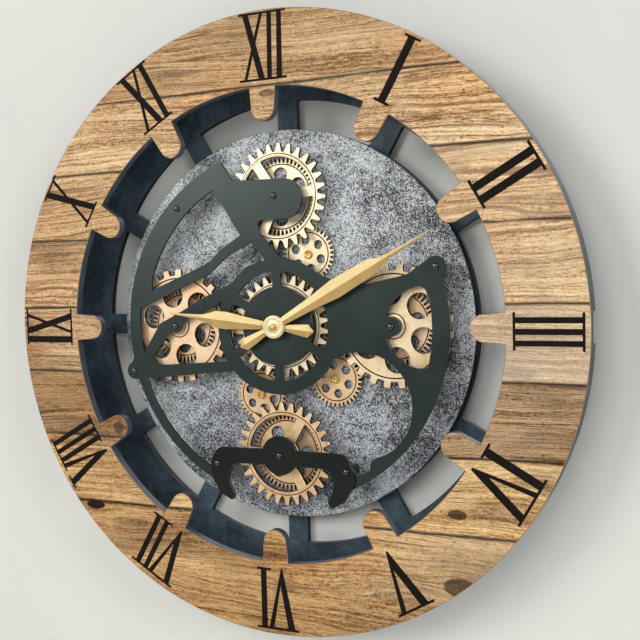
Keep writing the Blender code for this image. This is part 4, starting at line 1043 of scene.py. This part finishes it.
def kept_nodes():
    """Movement, motor, box and cells get their own finishes, and all but the cells get soft edges."""
    sleeve = cell_paint()
    finishes = {"movement_case": PLASTIC, "cell_box": PLASTIC, "gear_motor": STEEL, "movement_cell": sleeve,
        "motor_cell": sleeve}
    for node, material in finishes.items():
        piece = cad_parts[node]
        piece.data.materials.clear()
        piece.data.materials.append(material)
        if material == sleeve:
            continue
        soften = piece.modifiers.new("soft_edges", "BEVEL")
        soften.width = 0.4 * MM
        soften.segments = 2
        soften.limit_method = "ANGLE"
        soften.angle_limit = radians(35)


def cell_paint():
    """Plain cell sleeve: dark with a copper-coloured end."""
    paint = Paint("cell_sleeve", 0.32, 0.3)
    x = paint.axis("X")
    colour = paint.mix(paint.math("GREATER_THAN", x, 12 * MM), (32, 34, 38), (186, 134, 84))
    ends = paint.math("GREATER_THAN", paint.math("ABSOLUTE", x), 23.9 * MM)
    paint.set("Base Color", paint.mix(ends, colour, (186, 186, 182)))
    paint.bump(paint.noise(400, 2), 0.1, 0.0001)
    return paint.material


# Wall, floor, light and camera

def surroundings():
    """Wall and floor, clear from behind and to the lamps' light, so that the clock's back can be seen."""
    paint = Paint("wall_paint", 0.9, 0, 0.2)
    cloud = paint.noise(3, 5, 0.6)
    paint.set("Base Color", paint.ramp(cloud, [(0.3, (215, 215, 211)), (0.7, (222, 222, 217))]))
    paint.bump(paint.noise(30, 5, 0.6), 0.12, 0.002)
    rear = paint.node("ShaderNodeNewGeometry", {}).outputs["Backfacing"]
    shadow = paint.node("ShaderNodeLightPath", {}).outputs["Is Shadow Ray"]
    clear = paint.node("ShaderNodeBsdfTransparent", {}).outputs[0]
    shaders = {0: paint.math("MAXIMUM", rear, shadow), 1: paint.shader.outputs[0], 2: clear}
    output = [node for node in paint.tree.nodes if node.type == "OUTPUT_MATERIAL"][0]
    paint.put(output.inputs["Surface"], paint.node("ShaderNodeMixShader", shaders).outputs[0])
    side, back, ground = 6, 0.0006, -1.5
    foot = [(-side, back, ground), (side, back, ground)]
    panels = {"wall": foot + [(side, back, 3.5), (-side, back, 3.5)],
        "floor": [(-side, -6, ground), (side, -6, ground)] + foot[::-1]}
    for name, corners in panels.items():
        data = bpy.data.meshes.new(name)
        data.from_pydata(corners, [], [(0, 1, 2, 3)])
        data.materials.append(paint.material)
        put_in(name, data)


def area(name, place, size, power, colour=(1, 1, 1)):
    """Square lamp that faces the clock's middle."""
    light = bpy.data.lights.new(name, "AREA")
    light.size = size
    light.energy = power
    light.color = colour
    lamp = put_in(name, light)
    lamp.location = place
    lamp.rotation_euler = (-Vector(place)).to_track_quat("-Z", "Y").to_euler()


def lights():
    world = bpy.data.worlds.new("soft_world")
    world.use_nodes = True
    background = world.node_tree.nodes["Background"]
    background.inputs["Color"].default_value = (0.97, 0.985, 1, 1)
    background.inputs["Strength"].default_value = 0.22
    bpy.context.scene.world = world
    area("front", (-0.2, -6, 2.6), 3, 108)
    area("left", (-4.4, -5.6, 2.3), 3, 238, (1, 0.98, 0.94))
    area("right", (5.4, -3.1, 2.2), 2.5, 155, (0.97, 0.98, 1))
    area("behind", (-0.6, 6, 1.8), 3, 200)


def camera():
    """Camera solved from the ring, its tabs and the numerals."""
    data = bpy.data.cameras.new("camera")
    data.sensor_width = 36
    data.lens = 51.85
    data.clip_start = 0.01
    made = put_in("camera", data)
    facing = Matrix.Rotation(-0.0006107, 3, "Z") @ Matrix.Rotation(0.4244389, 3, "Y")
    facing = facing @ Matrix.Rotation(0.0604467, 3, "X") @ Matrix.Diagonal((1, -1, -1))
    right, down, forward = (Vector((row[0], -row[2], row[1])) for row in facing)
    columns = Matrix((right, -down, -forward)).transposed().to_4x4()
    made.matrix_world = Matrix.Translation((0.40896, -0.84329, 0.0548)) @ columns
    bpy.context.scene.camera = made


dial_ring()
numerals()
rim_band()
back_frame()
stone_disc()
main_plate()
bottom_bridge()
fasteners()
front_wheels()
fine_train()
brass_parts()
hand("hour_hand", HOUR_LINE, 276.5, 1.9, 2.6, 47.2)
hand("minute_hand", MINUTE_LINE, 61.3, 0, 1.5, 49.4)
kept_nodes()
surroundings()
lights()
camera()
bpy.context.scene.view_settings.view_transform = "Standard"
